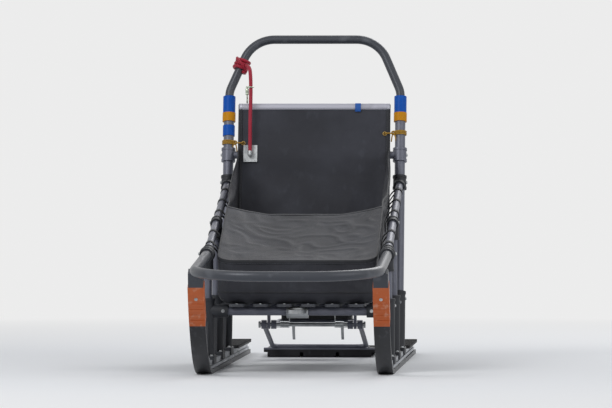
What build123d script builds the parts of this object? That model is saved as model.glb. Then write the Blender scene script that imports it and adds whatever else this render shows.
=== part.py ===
from build123d import *
import math
import os

os.makedirs("parts", exist_ok=True)

# Millimetres. The sled faces -Y, +Z is up, +X is its own left side. Z = 0 is the ground.

# Whole sled
sled_length = 2300
track = 500
bow_height = 950

# Fits
tube_fit = 0.15
seat = 0.2
cut_over = 1
pin_fit = 0.08
side_play = 2.5

# Runners
runner_width = 34
runner_thick = 24
slot_width = 10
slot_depth = 6
side_groove = 4
side_groove_height = 8
bend_radius = 420
bend_angle = 62
tip_run = 25
bow_reach = 225

# Runner shoes and tip sleeves
shoe_width = 44
shoe_thick = 12
shoe_tongue = 5.5
shoe_angle = 48
sleeve_wall = 4
sleeve_rib_count = 4
sleeve_rib_start = 2
sleeve_rib_pitch = 2.5
sleeve_rib_turn = 1
sleeve_rib = 1.5
sleeve_rib_root = 0.5

# Tubes
stanchion_radius = 12.5
bar_radius = 12.5
rail_radius = 11
brush_radius = 14
upright_radius = 15
bow_radius = 12.5
cross_radius = 11
tube_wall = 2

# Stations along the sled, and the lean of the rear uprights
foot_behind_bend = 37.4
tail_reach = 850
lean = 15
bar_z = 170
rail_rear_z = 520
cross_z = 600

# Brush bow
tip_to_bow = 35.1
brush_slope = 4
brush_corner = 190
tip_socket_length = 40
tip_socket_straight = 24
tip_socket_wall = 2

# Driving bow
upright_top_z = 722
bow_insert_z = 560
bow_bend_z = 785
bow_inward = 23
bow_bend_radius = 70
bow_corner_radius = 95

# Cast feet
foot_length = 110
foot_wall = 5
foot_skirt = 12
foot_plate = 10
foot_round = 2.5
column_radius = 20
column_top = 205
column_floor = 60
rib_thick = 8
rib_top = 140
rib_hole_radius = 7
rib_hole_rise = 27
rib_hole_reach = 31
bar_socket_radius = 18
bar_socket_reach = 58
bar_socket_floor = 18

# Moulded rail joints
joint_ball = 22
joint_boss = 4
joint_reach = 48
joint_floor = 16
upright_joint_floor = 26
clamp_length = 40
rim_length = 7
rim_thick = 1.5

# Bed slats
slat_count = 6
slat_width = 42
slat_gap = 24
slat_thick = 8
slat_corner = 12
slat_over_front = 70
slat_over_rear = 20

# Collars on the driving bow
collar_height = 48
collar_radius = 18
ring_height = 25
ring_radius = 19
ring_lug = 10
ring_lug_side = 17.5
wrap_z = 655
wrap_height = 30
wrap_thick = 2.5

# Foot pads on the runner tails
pad_width = 56
pad_from_tail = 60
pad_length = 620
pad_thick = 6
pad_corner = 10
pad_rib = 3
pad_rib_width = 6
pad_rib_pitch = 15
rib_root = 1

# Towing eye
tow_width = 60
tow_plate_width = 52
tow_plate_thick = 10
tow_reach = 70
tow_bore = 9
tow_clamp_wall = 8

# Hinge of the brake and the drag mat
hinge_drop = 60
hinge_pin_radius = 6
hinge_head_radius = 10
hinge_head = 6
lug_x = 125
lug_thick = 8
lug_top_radius = 20
lug_eye_radius = 13
eye_radius = 13
eye_width = 15

# Claw brake
brake_reach = 340
brake_tube = 8
brake_corner = 40
claw_bar_depth = 30
claw_bar_thick = 6
claw_x = 72
claw_thick = 8
claw_drop = 55
claw_root = 26
claw_neck = 8
claw_throat = (8, 40)
claw_back = (16, 33)
pedal_depth = 112
pedal_thick = 8
pedal_corner = 14
pedal_rib = 3
pedal_rib_width = 5
pedal_rib_pitch = 14

# Drag mat
mat_reach = 440
mat_tube = 7
mat_corner = 30
mat_half = 165
mat_length = 350
mat_thick = 8
mat_round = 12
mat_lug_height = 14
mat_lug_length = 14
mat_lug_pitch = 56
mat_lug_width = 96
mat_lug_space = 10
mat_clearance = 1.5
mat_clamp_depth = 34
mat_clamp_thick = 5

# Load bag, sewn from flat panels
panel = 4
bag_inset = 28
bag_over_front = 55
bag_nose_z = 310
bag_rear_side_z = 620
bag_back_top_z = 750
bag_cover_length = 445

# Red line tied to the driving bow: points as (x, distance ahead of the uprights' line, z)
line_radius = 5.5
line_points = [
    (-200, 24.3, 862),
    (-190, 50.3, 858),
    (-185, 63.8, 834),
    (-184, 52.0, 775),
    (-186, 38.9, 700),
    (-185, 37.8, 640),
    (-185, 37.3, 612),
]
knot_half = 14
knot_wall = 7
knot_stub = 8
stub_wall = 1
snap_ring_radius = 11
snap_ring_thick = 6
snap_down = 34
snap_neck = 4
snap_length = 52
snap_body = 5
anchor_width = 40
anchor_height = 50
anchor_thick = 3
anchor_drop = 8
anchor_ferrule = 12
anchor_neck_drop = 4

# Places worked out from the sizes above
half_length = sled_length / 2
side_x = track / 2
runner_base = shoe_thick
runner_top = shoe_thick + runner_thick
slope_of_lean = math.tan(math.radians(lean))
bend = math.radians(bend_angle)
tip_y = -half_length + bow_reach
bend_y = tip_y + bend_radius * math.sin(bend) + tip_run * math.cos(bend)
front_y = bend_y + foot_length / 2 + foot_behind_bend
rear_y = half_length - tail_reach
mid_y = (front_y + rear_y) / 2
tip_z = bend_radius * (1 - math.cos(bend)) + tip_run * math.sin(bend)
brush_y = -half_length + brush_radius
brush_front_z = tip_z + tip_to_bow
slope_of_brush = math.tan(math.radians(brush_slope))
bow_top_z = bow_height - bow_radius
pad_start_y = half_length - pad_from_tail - pad_length
brake_x = lug_x - lug_thick / 2 - side_play - eye_width / 2
mat_x = lug_x + lug_thick / 2 + side_play + eye_width / 2
hinge_half = mat_x + eye_width / 2 + side_play
pedal_width = 2 * (brake_x - brake_tube)
claw_bar_width = 2 * (brake_x - 2 * brake_tube)
bag_half = side_x - bag_inset
bag_nose_y = front_y - bag_over_front
bag_mouth_y = bag_nose_y + bag_cover_length


def lean_y(z):
    """Y of the rear uprights' centre line at height z."""
    return rear_y + (z - runner_top) * slope_of_lean


def brush_z(y):
    """Height of the brush bow's centre line at y."""
    return brush_front_z + (y - brush_y) * slope_of_brush


rail_front = Vector(side_x, front_y, brush_z(front_y))
rail_rear = Vector(side_x, lean_y(rail_rear_z), rail_rear_z)
rail_direction = (rail_rear - rail_front).normalized()
rail_mid = rail_front + rail_direction * ((mid_y - front_y) / rail_direction.Y)
lean_direction = Vector(0, math.sin(math.radians(lean)), math.cos(math.radians(lean)))
brush_direction = Vector(0, math.cos(math.radians(brush_slope)), math.sin(math.radians(brush_slope)))
down = Vector(0, 0, -1)
hinge_y = lean_y(bar_z)
hinge_z = bar_z - hinge_drop
slat_bottom = bar_z + bar_radius + seat
slat_top = slat_bottom + slat_thick
bag_floor_z = slat_top + seat
line_route = [Vector(x, lean_y(z) - ahead, z) for x, ahead, z in line_points]


# General shapes
def rod(start, end, radius, wall=0.0):
    """Round bar or tube from start to end."""
    start = Vector(*start)
    reach = Vector(*end) - start
    solid = Cylinder(radius, reach.length, align=(Align.CENTER, Align.CENTER, Align.MIN))
    if wall:
        solid -= Cylinder(radius - wall, reach.length, align=(Align.CENTER, Align.CENTER, Align.MIN))
    return Plane(origin=start, z_dir=reach) * solid


def swept(path, radius, wall=0.0):
    """Round bar or tube along a path of lines and arcs."""
    section = Circle(radius)
    if wall:
        section -= Circle(radius - wall)
    return sweep(Plane(origin=path @ 0, z_dir=path % 0) * section, path=path)


def block(x, y, z):
    """Box given by its lower and upper limits on each axis."""
    box = Box(x[1] - x[0], y[1] - y[0], z[1] - z[0])
    return Pos((x[0] + x[1]) / 2, (y[0] + y[1]) / 2, (z[0] + z[1]) / 2) * box


def plane_across(origin, direction):
    """Plane with its X across the sled and its Y along a direction square to that."""
    return Plane(origin=origin, x_dir=(1, 0, 0), z_dir=(0, -direction.Z, direction.Y))


def side_profile(points, x_low, x_high):
    """Plate parallel to the YZ plane with the outline given as (y, z) points."""
    face = make_face(Polyline([(0, y, z) for y, z in points], close=True))
    return Pos(x_low, 0, 0) * extrude(face, amount=x_high - x_low, dir=(1, 0, 0))


def save(name, shape):
    export_step(shape, "parts/" + name + ".step")


def save_pair(name, shape):
    """Write the left piece and its mirror image."""
    save(name + "_left", shape)
    save(name + "_right", mirror(shape, about=Plane.YZ))


# Runners: layers that follow one upturned line, low and high measured up from the ground
def runner_edge(height, turn_from, turn_to, tip):
    """Points and arc of one edge of a runner layer, in the plane of (forward, up)."""
    radius = bend_radius - height
    forward = -bend_y
    last = math.radians(turn_to)
    arc_end = Vector(forward + radius * math.sin(last), bend_radius - radius * math.cos(last))
    tip_end = arc_end + Vector(math.cos(last), math.sin(last)) * tip
    arc = CenterArc((forward, bend_radius), radius, turn_from - 90, turn_to - turn_from)
    return arc, tip_end


def runner_layer(low, high, width, turn_from=0.0, turn_to=bend_angle, tip=0.0, with_flat=True):
    """Ribbon of the given width between two heights, along the flat, the bend and the tip."""
    lower_arc, lower_tip = runner_edge(low, turn_from, turn_to, tip)
    upper_arc, upper_tip = runner_edge(high, turn_from, turn_to, tip)
    lower_start = Vector(-half_length, low) if with_flat else lower_arc @ 0
    upper_start = Vector(-half_length, high) if with_flat else upper_arc @ 0
    lines = [lower_arc, upper_arc, Line(lower_tip, upper_tip), Line(upper_start, lower_start)]
    if with_flat:
        lines += [Line(lower_start, lower_arc @ 0), Line(upper_start, upper_arc @ 0)]
    if tip:
        lines += [Line(lower_arc @ 1, lower_tip), Line(upper_arc @ 1, upper_tip)]
    plane = Plane(origin=(side_x, 0, 0), x_dir=(0, -1, 0), z_dir=(-1, 0, 0))
    return extrude(plane * make_face(lines), amount=width / 2, both=True)


def make_runner():
    """Extruded rail with a slot above and below and a groove along each side."""
    rail = runner_layer(runner_base, runner_top, runner_width, tip=tip_run)
    middle = (runner_base + runner_top) / 2
    groove_low = middle - side_groove_height / 2
    groove_high = middle + side_groove_height / 2
    rail -= runner_layer(runner_base, runner_base + slot_depth, slot_width, tip=tip_run)
    rail -= runner_layer(runner_top - slot_depth, runner_top, slot_width, tip=tip_run)
    grooves = runner_layer(groove_low, groove_high, runner_width, tip=tip_run)
    grooves -= runner_layer(groove_low, groove_high, runner_width - 2 * side_groove, tip=tip_run)
    return rail - grooves


def make_shoe():
    """Plastic sole that slides on by a tongue in the runner's lower slot."""
    sole = runner_layer(0, shoe_thick, shoe_width, turn_to=shoe_angle)
    tongue_width = slot_width - 2 * tube_fit
    return sole + runner_layer(shoe_thick, shoe_thick + shoe_tongue, tongue_width, turn_to=shoe_angle)


def make_tip_sleeve():
    """Moulded cover round the upturned end of the runner, ribbed across its front."""
    options = {"turn_from": shoe_angle, "tip": tip_run, "with_flat": False}
    sleeve = runner_layer(0, runner_top + sleeve_wall, shoe_width, **options)
    for index in range(sleeve_rib_count):
        start = shoe_angle + sleeve_rib_start + index * sleeve_rib_pitch
        rib = {"turn_from": start, "turn_to": start + sleeve_rib_turn, "with_flat": False}
        sleeve += runner_layer(-sleeve_rib, sleeve_rib_root, shoe_width, **rib)
    pocket_low = runner_base - tube_fit
    pocket_high = runner_top + tube_fit
    return sleeve - runner_layer(pocket_low, pocket_high, runner_width + 2 * tube_fit, **options)


def make_brush_bow():
    """U of tube ahead of the runner tips, with a welded socket over each tip."""
    plane = plane_across((0, brush_y, brush_front_z), brush_direction)
    back = (front_y - brush_y) / brush_direction.Y - joint_floor
    corners = [(side_x, back), (side_x, 0), (-side_x, 0), (-side_x, back)]
    path = plane * FilletPolyline(corners, radius=brush_corner)
    bow = swept(path, brush_radius)
    forward = -bend_y
    turn = Vector(math.cos(bend), math.sin(bend))
    root = Vector(forward + bend_radius * math.sin(bend), bend_radius * (1 - math.cos(bend))) + turn * tip_run
    normal = Vector(-math.sin(bend), math.cos(bend))
    full = runner_top + sleeve_wall
    outline = Polyline(
        root,
        root + normal * full,
        root + normal * full + turn * tip_socket_straight,
        root + normal * (full / 2 + brush_radius) + turn * tip_socket_length,
        root + normal * (full / 2 - brush_radius) + turn * tip_socket_length,
        root + turn * tip_socket_straight,
        close=True,
    )
    side = Plane(origin=(side_x, 0, 0), x_dir=(0, -1, 0), z_dir=(-1, 0, 0))
    socket = extrude(side * make_face(outline), amount=shoe_width / 2 - tip_socket_wall, both=True)
    return bow + socket + mirror(socket, about=Plane.YZ)


# Feet, stanchions and bars
def make_foot(y, tube_radius, angle):
    """Casting that clamps on the runner, holds a stanchion and takes the crossbar's end."""
    tangent = math.tan(math.radians(angle))
    axis_low = Vector(side_x, y, runner_top)
    axis_top = Vector(side_x, y + (column_top - runner_top) * tangent, column_top)
    bar_y = y + (bar_z - runner_top) * tangent
    half = foot_length / 2
    outer = runner_width / 2 + foot_wall
    saddle_x = (side_x - outer, side_x + outer)
    foot = block(saddle_x, (y - half, y + half), (runner_top - foot_skirt, runner_top + foot_plate))
    foot = fillet(foot.edges().filter_by(Axis.Z), foot_wall)
    foot = fillet(foot.edges().group_by(Axis.Z)[-1], foot_round)
    foot += rod(axis_low, axis_top, column_radius)
    rim_low = axis_top - (axis_top - axis_low).normalized() * rim_length
    foot += rod(rim_low, axis_top, column_radius + rim_thick)
    rib = [(y - half + foot_wall, runner_top), (y + half - foot_wall, runner_top)]
    rib_shift = (rib_top - runner_top) * tangent
    rib += [(y + column_radius + rib_shift, rib_top), (y - column_radius + rib_shift, rib_top)]
    web = side_profile(rib, side_x - rib_thick / 2, side_x + rib_thick / 2)
    hole_y = y + rib_hole_rise * tangent
    hole_z = runner_top + rib_hole_rise
    for reach in (-rib_hole_reach, rib_hole_reach):
        start = (side_x - rib_thick, hole_y + reach, hole_z)
        web -= rod(start, (side_x + rib_thick, hole_y + reach, hole_z), rib_hole_radius)
    foot += web
    foot += rod((side_x, bar_y, bar_z), (side_x - bar_socket_reach, bar_y, bar_z), bar_socket_radius)
    runner_clear = runner_width / 2 + tube_fit
    clear_x = (side_x - runner_clear, side_x + runner_clear)
    foot -= block(clear_x, (y - half, y + half), (runner_top - foot_skirt, runner_top))
    floor = Vector(side_x, y + (column_floor - runner_top) * tangent, column_floor)
    foot -= rod(floor, axis_top + (axis_top - floor), tube_radius + tube_fit)
    socket_end = side_x - bar_socket_reach - cut_over
    socket_floor = side_x - bar_socket_floor
    return foot - rod((socket_end, bar_y, bar_z), (socket_floor, bar_y, bar_z), bar_radius + tube_fit)


def make_crossbar(y):
    half = side_x - bar_socket_floor
    return rod((-half, y, bar_z), (half, y, bar_z), bar_radius, tube_wall)


def make_rear_crossbar():
    """Rear bar with the two welded lugs that carry the hinge pin."""
    bar = make_crossbar(hinge_y)
    circles = Pos(hinge_y, bar_z) * Circle(lug_top_radius) + Pos(hinge_y, hinge_z) * Circle(lug_eye_radius)
    plate = make_hull(circles.edges())
    plate -= Pos(hinge_y, hinge_z) * Circle(hinge_pin_radius + pin_fit)
    plate -= Pos(hinge_y, bar_z) * Circle(bar_radius - tube_wall)
    level = Plane(origin=(0, 0, 0), x_dir=(0, 1, 0), z_dir=(1, 0, 0))
    for x in (-lug_x, lug_x):
        bar += Pos(x, 0, 0) * extrude(level * plate, amount=lug_thick / 2, both=True)
    return bar


def make_upright():
    start = Vector(side_x, lean_y(column_floor), column_floor)
    end = Vector(side_x, lean_y(upright_top_z), upright_top_z)
    return rod(start, end, upright_radius, tube_wall)


def make_driving_bow():
    """Handle bow: straight legs in the uprights, leaning in above the collars."""
    plane = plane_across((0, rear_y, runner_top), lean_direction)
    along = 1 / lean_direction.Z
    top = (bow_top_z - runner_top) * along
    knee = (bow_bend_z - runner_top) * along
    low = (bow_insert_z - runner_top) * along
    shoulder = side_x - (top - knee) * math.tan(math.radians(bow_inward))
    left = [(side_x, low), (side_x, knee), (shoulder, top)]
    right = [(-x, height) for x, height in reversed(left)]
    radii = [bow_bend_radius, bow_corner_radius, bow_corner_radius, bow_bend_radius]
    path = plane * FilletPolyline(left + right, radius=radii)
    return swept(path, bow_radius, tube_wall)


# Moulded joints between tubes
def boss(center, direction, radius):
    end = center + direction * joint_reach
    arm = rod(center, end, radius + joint_boss)
    return arm + rod(end - direction * rim_length, end, radius + joint_boss + rim_thick)


def bore(center, direction, radius, floor):
    reach = joint_reach + joint_boss
    return rod(center + direction * floor, center + direction * reach, radius + tube_fit)


def through(center, direction, radius):
    half = direction * (clamp_length / 2)
    rim = direction * rim_length
    collar = rod(center - half, center + half, radius + joint_boss)
    collar += rod(center - half, center - half + rim, radius + joint_boss + rim_thick)
    collar += rod(center + half - rim, center + half, radius + joint_boss + rim_thick)
    hole = rod(center - half * 2, center + half * 2, radius + tube_fit)
    return collar, hole


def make_front_joint():
    """Top of the front stanchion, where the brush bow ends and the side rail starts."""
    arms = [
        (down, stanchion_radius),
        (-brush_direction, brush_radius),
        (rail_direction, rail_radius),
    ]
    solid = Pos(*rail_front) * Sphere(joint_ball)
    for direction, radius in arms:
        solid += boss(rail_front, direction, radius)
    for direction, radius in arms:
        solid -= bore(rail_front, direction, radius, joint_floor)
    return solid


def make_mid_joint():
    """Top of the middle stanchion, with the side rail straight through it."""
    collar, hole = through(rail_mid, rail_direction, rail_radius)
    solid = collar + boss(rail_mid, down, stanchion_radius)
    return solid - hole - bore(rail_mid, down, stanchion_radius, joint_floor)


def make_rear_joint():
    """End of the side rail on the upright."""
    collar, hole = through(rail_rear, lean_direction, upright_radius)
    solid = collar + boss(rail_rear, -rail_direction, rail_radius)
    return solid - hole - bore(rail_rear, -rail_direction, rail_radius, upright_joint_floor)


def make_side_rail():
    start = rail_front + rail_direction * joint_floor
    end = rail_rear - rail_direction * upright_joint_floor
    return rod(start, end, rail_radius, tube_wall)


def make_stanchion(y, top_z):
    return rod((side_x, y, column_floor), (side_x, y, top_z - joint_floor), stanchion_radius, tube_wall)


def make_cross_tube():
    """Upper bar between the uprights, with a clamp at each end."""
    center = Vector(side_x, lean_y(cross_z), cross_z)
    collar, hole = through(center, lean_direction, upright_radius)
    bar = rod(center, Vector(-side_x, center.Y, cross_z), cross_radius)
    bar += collar + mirror(collar, about=Plane.YZ)
    return bar - hole - mirror(hole, about=Plane.YZ)


# Collars, clamp rings and the wrap on the uprights
def ring_at(z, height, outer, inner):
    low = Vector(side_x, lean_y(z), z)
    high = Vector(side_x, lean_y(z + height), z + height)
    return rod(low, high, outer, outer - inner - tube_fit)


def make_clamp_ring():
    """Ring with a square lug for its bolt, at the top of an upright."""
    z = upright_top_z - ring_height
    center_z = upright_top_z - ring_height / 2
    solid = rod((side_x, lean_y(z), z), (side_x, lean_y(upright_top_z), upright_top_z), ring_radius)
    level = Plane(origin=(side_x, lean_y(center_z), center_z), x_dir=(1, 0, 0), z_dir=lean_direction)
    solid += level * Pos(0, ring_radius, 0) * Box(ring_lug_side, ring_lug * 2, ring_lug_side)
    low = Vector(side_x, lean_y(z - ring_height), z - ring_height)
    high = Vector(side_x, lean_y(upright_top_z + ring_height), upright_top_z + ring_height)
    solid -= rod(low, high, upright_radius + tube_fit)
    return solid


# Bed
def make_slats():
    width = slat_count * slat_width + (slat_count - 1) * slat_gap
    slats = []
    for index in range(slat_count):
        x = -width / 2 + index * (slat_width + slat_gap)
        y = (front_y - slat_over_front, hinge_y + slat_over_rear)
        slat = block((x, x + slat_width), y, (slat_bottom, slat_top))
        slats.append(fillet(slat.edges().filter_by(Axis.Z), slat_corner))
    return Compound(children=slats)


def make_foot_pad():
    """Rubber tread on the runner's tail, ribbed across."""
    half = pad_width / 2
    x = (side_x - half, side_x + half)
    pad = block(x, (pad_start_y, pad_start_y + pad_length), (runner_top, runner_top + pad_thick))
    pad = fillet(pad.edges().filter_by(Axis.Z), pad_corner)
    count = int((pad_length - 2 * pad_corner) // pad_rib_pitch)
    first = pad_start_y + (pad_length - count * pad_rib_pitch - pad_rib_width) / 2
    top = runner_top + pad_thick
    for index in range(count + 1):
        y = first + index * pad_rib_pitch
        pad += block(x, (y, y + pad_rib_width), (top - rib_root, top + pad_rib))
    return pad


def make_tow_plate():
    """Clamp under the front crossbar with the forward eye for towing."""
    half = tow_width / 2
    outer = bar_radius + tow_clamp_wall
    clamp = rod((-half, front_y, bar_z), (half, front_y, bar_z), outer)
    eye_y = front_y - tow_reach
    plate = block(
        (-tow_plate_width / 2, tow_plate_width / 2),
        (eye_y, front_y),
        (bar_z - tow_plate_thick / 2, bar_z + tow_plate_thick / 2),
    )
    eye = Pos(0, eye_y, bar_z) * Cylinder(tow_plate_width / 2, tow_plate_thick)
    solid = clamp + plate + eye
    solid -= Pos(0, eye_y, bar_z) * Cylinder(tow_bore, tow_plate_thick)
    solid -= rod((-half, front_y, bar_z), (half, front_y, bar_z), bar_radius + tube_fit)
    top = (bar_z + bar_radius - seat, bar_z + outer)
    return solid - block((-half, half), (front_y - outer, front_y + outer), top)


# Brake and drag mat, both on one pin below the rear crossbar
def make_hinge_pin():
    pin = rod((-hinge_half, hinge_y, hinge_z), (hinge_half, hinge_y, hinge_z), hinge_pin_radius)
    for x in (-hinge_half - hinge_head, hinge_half):
        pin += rod((x, hinge_y, hinge_z), (x + hinge_head, hinge_y, hinge_z), hinge_head_radius)
    return pin


def hinged_frame(x, corners, corner_radius, tube_radius):
    """Bent tube with an eye at each end on the hinge pin."""
    path = FilletPolyline(corners, radius=corner_radius)
    frame = swept(path, tube_radius)
    for side in (-x, x):
        low = (side - eye_width / 2, hinge_y, hinge_z)
        high = (side + eye_width / 2, hinge_y, hinge_z)
        frame += rod(low, high, eye_radius)
    pin = rod((-hinge_half, hinge_y, hinge_z), (hinge_half, hinge_y, hinge_z), hinge_pin_radius + pin_fit)
    return frame - pin


def make_brake_frame():
    back = hinge_y + brake_reach
    corners = [
        (brake_x, hinge_y, hinge_z),
        (brake_x, back, hinge_z),
        (-brake_x, back, hinge_z),
        (-brake_x, hinge_y, hinge_z),
    ]
    return hinged_frame(brake_x, corners, brake_corner, brake_tube)


def make_brake_claws():
    """Flat bar under the brake tube with two curved claws."""
    top = hinge_z - brake_tube - seat
    back = hinge_y + brake_reach
    half = claw_bar_width / 2
    bar_y = (back - claw_bar_depth / 2, back + claw_bar_depth / 2)
    solid = block((-half, half), bar_y, (top - claw_bar_thick, top))
    root = top - claw_bar_thick
    tip = (back + claw_root, hinge_z - claw_drop)
    front = Line((back - claw_root / 2, root), (back - claw_root / 4, root - claw_neck))
    throat = (back + claw_throat[0], hinge_z - claw_throat[1])
    rear = (back + claw_back[0], hinge_z - claw_back[1])
    edges = [
        front,
        ThreePointArc(front @ 1, throat, tip),
        ThreePointArc(tip, rear, (back + claw_root / 2, root)),
        Line((back + claw_root / 2, root), front @ 0),
    ]
    upright = Plane(origin=(0, 0, 0), x_dir=(0, 1, 0), z_dir=(1, 0, 0))
    claw = extrude(upright * make_face(edges), amount=claw_thick / 2, both=True)
    return solid + Pos(-claw_x, 0, 0) * claw + Pos(claw_x, 0, 0) * claw


def make_brake_pedal():
    """Ribbed tread across the brake tube."""
    low = hinge_z + brake_tube + seat
    back = hinge_y + brake_reach + brake_tube
    half = pedal_width / 2
    top = low + pedal_thick
    tread = block((-half, half), (back - pedal_depth, back), (low, top))
    count = int((pedal_depth - pedal_rib_width) // pedal_rib_pitch)
    for index in range(count + 1):
        y = back - pedal_depth + index * pedal_rib_pitch
        tread += block((-half, half), (y, y + pedal_rib_width), (top - rib_root, top + pedal_rib))
    outline = block((-half, half), (back - pedal_depth, back), (low, top + pedal_rib))
    return tread & fillet(outline.edges().filter_by(Axis.Z), pedal_corner)


mat_low = mat_clearance + mat_lug_height
mat_top = mat_low + mat_thick
mat_bar_z = mat_top + mat_clamp_thick + mat_tube / 2


def make_mat_frame():
    """Bent tube down to the mat, with the flat bar that holds the mat's front edge."""
    back = hinge_y + mat_reach
    corners = [
        (mat_x, hinge_y, hinge_z),
        (mat_x, back, mat_bar_z),
        (-mat_x, back, mat_bar_z),
        (-mat_x, hinge_y, hinge_z),
    ]
    frame = hinged_frame(mat_x, corners, mat_corner, mat_tube)
    bar_y = (back - mat_clamp_depth / 2, back + mat_clamp_depth / 2)
    return frame + block((-mat_half, mat_half), bar_y, (mat_top, mat_top + mat_clamp_thick))


def make_drag_mat():
    """Flat rubber mat with rows of lugs beneath, staggered from row to row."""
    start = hinge_y + mat_reach - mat_clamp_depth / 2
    mat = block((-mat_half, mat_half), (start, start + mat_length), (mat_low, mat_top))
    corners = mat.edges().filter_by(Axis.Z).group_by(Axis.Y)[-1]
    mat = fillet(corners, mat_round)
    rows = int((mat_length - mat_lug_length) // mat_lug_pitch) + 1
    step = mat_lug_width + mat_lug_space
    for row in range(rows):
        y = start + row * mat_lug_pitch
        centers = (-step, 0, step) if row % 2 == 0 else (-step / 2, step / 2)
        for x in centers:
            x_span = (x - mat_lug_width / 2, x + mat_lug_width / 2)
            mat += block(x_span, (y, y + mat_lug_length), (mat_clearance, mat_low + rib_root))
    return mat


# Load bag
panel_offset = cross_radius + seat + panel


def panel_y(z, depth):
    """Y of a plane parallel to the uprights, depth ahead of their centre line."""
    return lean_y(z) - depth / lean_direction.Z


def side_top(y):
    """Height of the bag's sloping top edge at y."""
    rear = panel_y(bag_rear_side_z, panel_offset)
    return bag_nose_z + (y - bag_nose_y) * (bag_rear_side_z - bag_nose_z) / (rear - bag_nose_y)


def make_bag_floor():
    high = bag_floor_z + panel
    front = bag_nose_y + panel
    outline = [
        (front, bag_floor_z),
        (panel_y(bag_floor_z, panel_offset), bag_floor_z),
        (panel_y(high, panel_offset), high),
        (front, high),
    ]
    return side_profile(outline, -bag_half + panel, bag_half - panel)


def make_bag_side():
    outline = [
        (bag_nose_y, bag_floor_z),
        (panel_y(bag_floor_z, panel_offset), bag_floor_z),
        (panel_y(bag_rear_side_z, panel_offset), bag_rear_side_z),
        (bag_nose_y, bag_nose_z),
    ]
    return side_profile(outline, bag_half - panel, bag_half)


def make_bag_nose():
    outline = [
        (bag_nose_y, bag_floor_z),
        (bag_nose_y + panel, bag_floor_z),
        (bag_nose_y + panel, side_top(bag_nose_y + panel)),
        (bag_nose_y, bag_nose_z),
    ]
    return side_profile(outline, -bag_half + panel, bag_half - panel)


def make_bag_back():
    outline = [
        (panel_y(bag_floor_z, panel_offset), bag_floor_z),
        (panel_y(bag_floor_z, panel_offset - panel), bag_floor_z),
        (panel_y(bag_back_top_z, panel_offset - panel), bag_back_top_z),
        (panel_y(bag_back_top_z, panel_offset), bag_back_top_z),
    ]
    return side_profile(outline, -bag_half, bag_half)


def make_bag_cover():
    """Front half of the bag's top, laid on the side panels' sloping edges."""
    outline = [
        (bag_nose_y, bag_nose_z),
        (bag_mouth_y, side_top(bag_mouth_y)),
        (bag_mouth_y, side_top(bag_mouth_y) + panel),
        (bag_nose_y, bag_nose_z + panel),
    ]
    return side_profile(outline, -bag_half, bag_half)


# Red line, its knot, snap and anchor
def line_radii():
    """Largest arc that each pair of neighbouring runs allows."""
    radii = []
    for before, here, after in zip(line_route, line_route[1:], line_route[2:]):
        first = here - before
        second = after - here
        half_turn = math.radians(first.get_angle(second)) / 2
        radii.append(0.45 * min(first.length, second.length) / math.tan(half_turn))
    return radii


def make_line():
    radii = line_radii()
    print("line radii", [round(radius) for radius in radii])
    path = FilletPolyline(line_route, radius=radii)
    line = swept(path, line_radius)
    expected = math.pi * line_radius ** 2 * path.length
    print("line length", round(path.length), "volume ratio", round(line.volume / expected, 4))
    return line


def bow_leg(z):
    """Centre of the bow's right leg at height z, above its knee."""
    inward = (z - bow_bend_z) / lean_direction.Z * math.tan(math.radians(bow_inward))
    return Vector(-(side_x - inward), lean_y(z), z)


def make_knot():
    """Turns of line round the bow's leg, and the short stub that the line leaves by."""
    start = line_route[0]
    heading = (line_route[1] - start).normalized()
    center = bow_leg(start.Z)
    leg = (bow_leg(start.Z + knot_half) - center).normalized()
    low = center - leg * knot_half
    high = center + leg * knot_half
    solid = rod(low, high, bow_radius + knot_wall)
    inside = start - heading * (bow_radius + knot_stub)
    solid += rod(inside, start, line_radius + stub_wall)
    return solid - rod(low - leg * knot_half, high + leg * knot_half, bow_radius + tube_fit)


def make_snap():
    """Snap hook that rides on the line, by an eye, with its body hanging beside it."""
    upper = line_route[2]
    heading = (line_route[3] - upper).normalized()
    center = upper + heading * snap_down
    half = heading * (snap_ring_thick / 2)
    body_start = center - Vector(line_radius + stub_wall + snap_body, 0, 0)
    solid = rod(center - half, center + half, snap_ring_radius)
    solid += rod(body_start - heading * snap_neck, body_start + heading * snap_length, snap_body)
    return solid - rod(center - half * 3, center + half * 3, line_radius + tube_fit)


def make_anchor():
    """Small plate on the back panel, with the ferrule that the line ends in."""
    end = line_route[-1]
    heading = (end - line_route[-2]).normalized()
    plate_z = end.Z - anchor_drop
    face_y = panel_y(plate_z, panel_offset)
    on_panel = (Align.CENTER, Align.CENTER, Align.MIN)
    plate = Box(anchor_width, anchor_height, anchor_thick, align=on_panel)
    plate = plane_across((end.X, face_y, plate_z), lean_direction) * plate
    ferrule_end = end + heading * anchor_ferrule
    ferrule = rod(end, ferrule_end, line_radius + stub_wall)
    neck = Vector(end.X, face_y - stub_wall, plate_z - anchor_neck_drop)
    solid = plate + ferrule + rod(ferrule_end - heading * anchor_neck_drop, neck, line_radius + stub_wall)
    return solid - make_bag_back()


# Write every piece
save_pair("runner", make_runner())
save_pair("shoe", make_shoe())
save_pair("tip_sleeve", make_tip_sleeve())
save("brush_bow", make_brush_bow())
for station, y, tube_radius, angle in (
    ("front", front_y, stanchion_radius, 0),
    ("mid", mid_y, stanchion_radius, 0),
    ("rear", rear_y, upright_radius, lean),
):
    save_pair("foot_" + station, make_foot(y, tube_radius, angle))
save("crossbar_front", make_crossbar(front_y))
save("crossbar_mid", make_crossbar(mid_y))
save("crossbar_rear", make_rear_crossbar())
save_pair("stanchion_front", make_stanchion(front_y, rail_front.Z))
save_pair("stanchion_mid", make_stanchion(mid_y, rail_mid.Z))
save_pair("upright", make_upright())
save("driving_bow", make_driving_bow())
save_pair("rail_joint_front", make_front_joint())
save_pair("rail_joint_mid", make_mid_joint())
save_pair("rail_joint_rear", make_rear_joint())
save_pair("side_rail", make_side_rail())
save("cross_tube", make_cross_tube())
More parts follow.
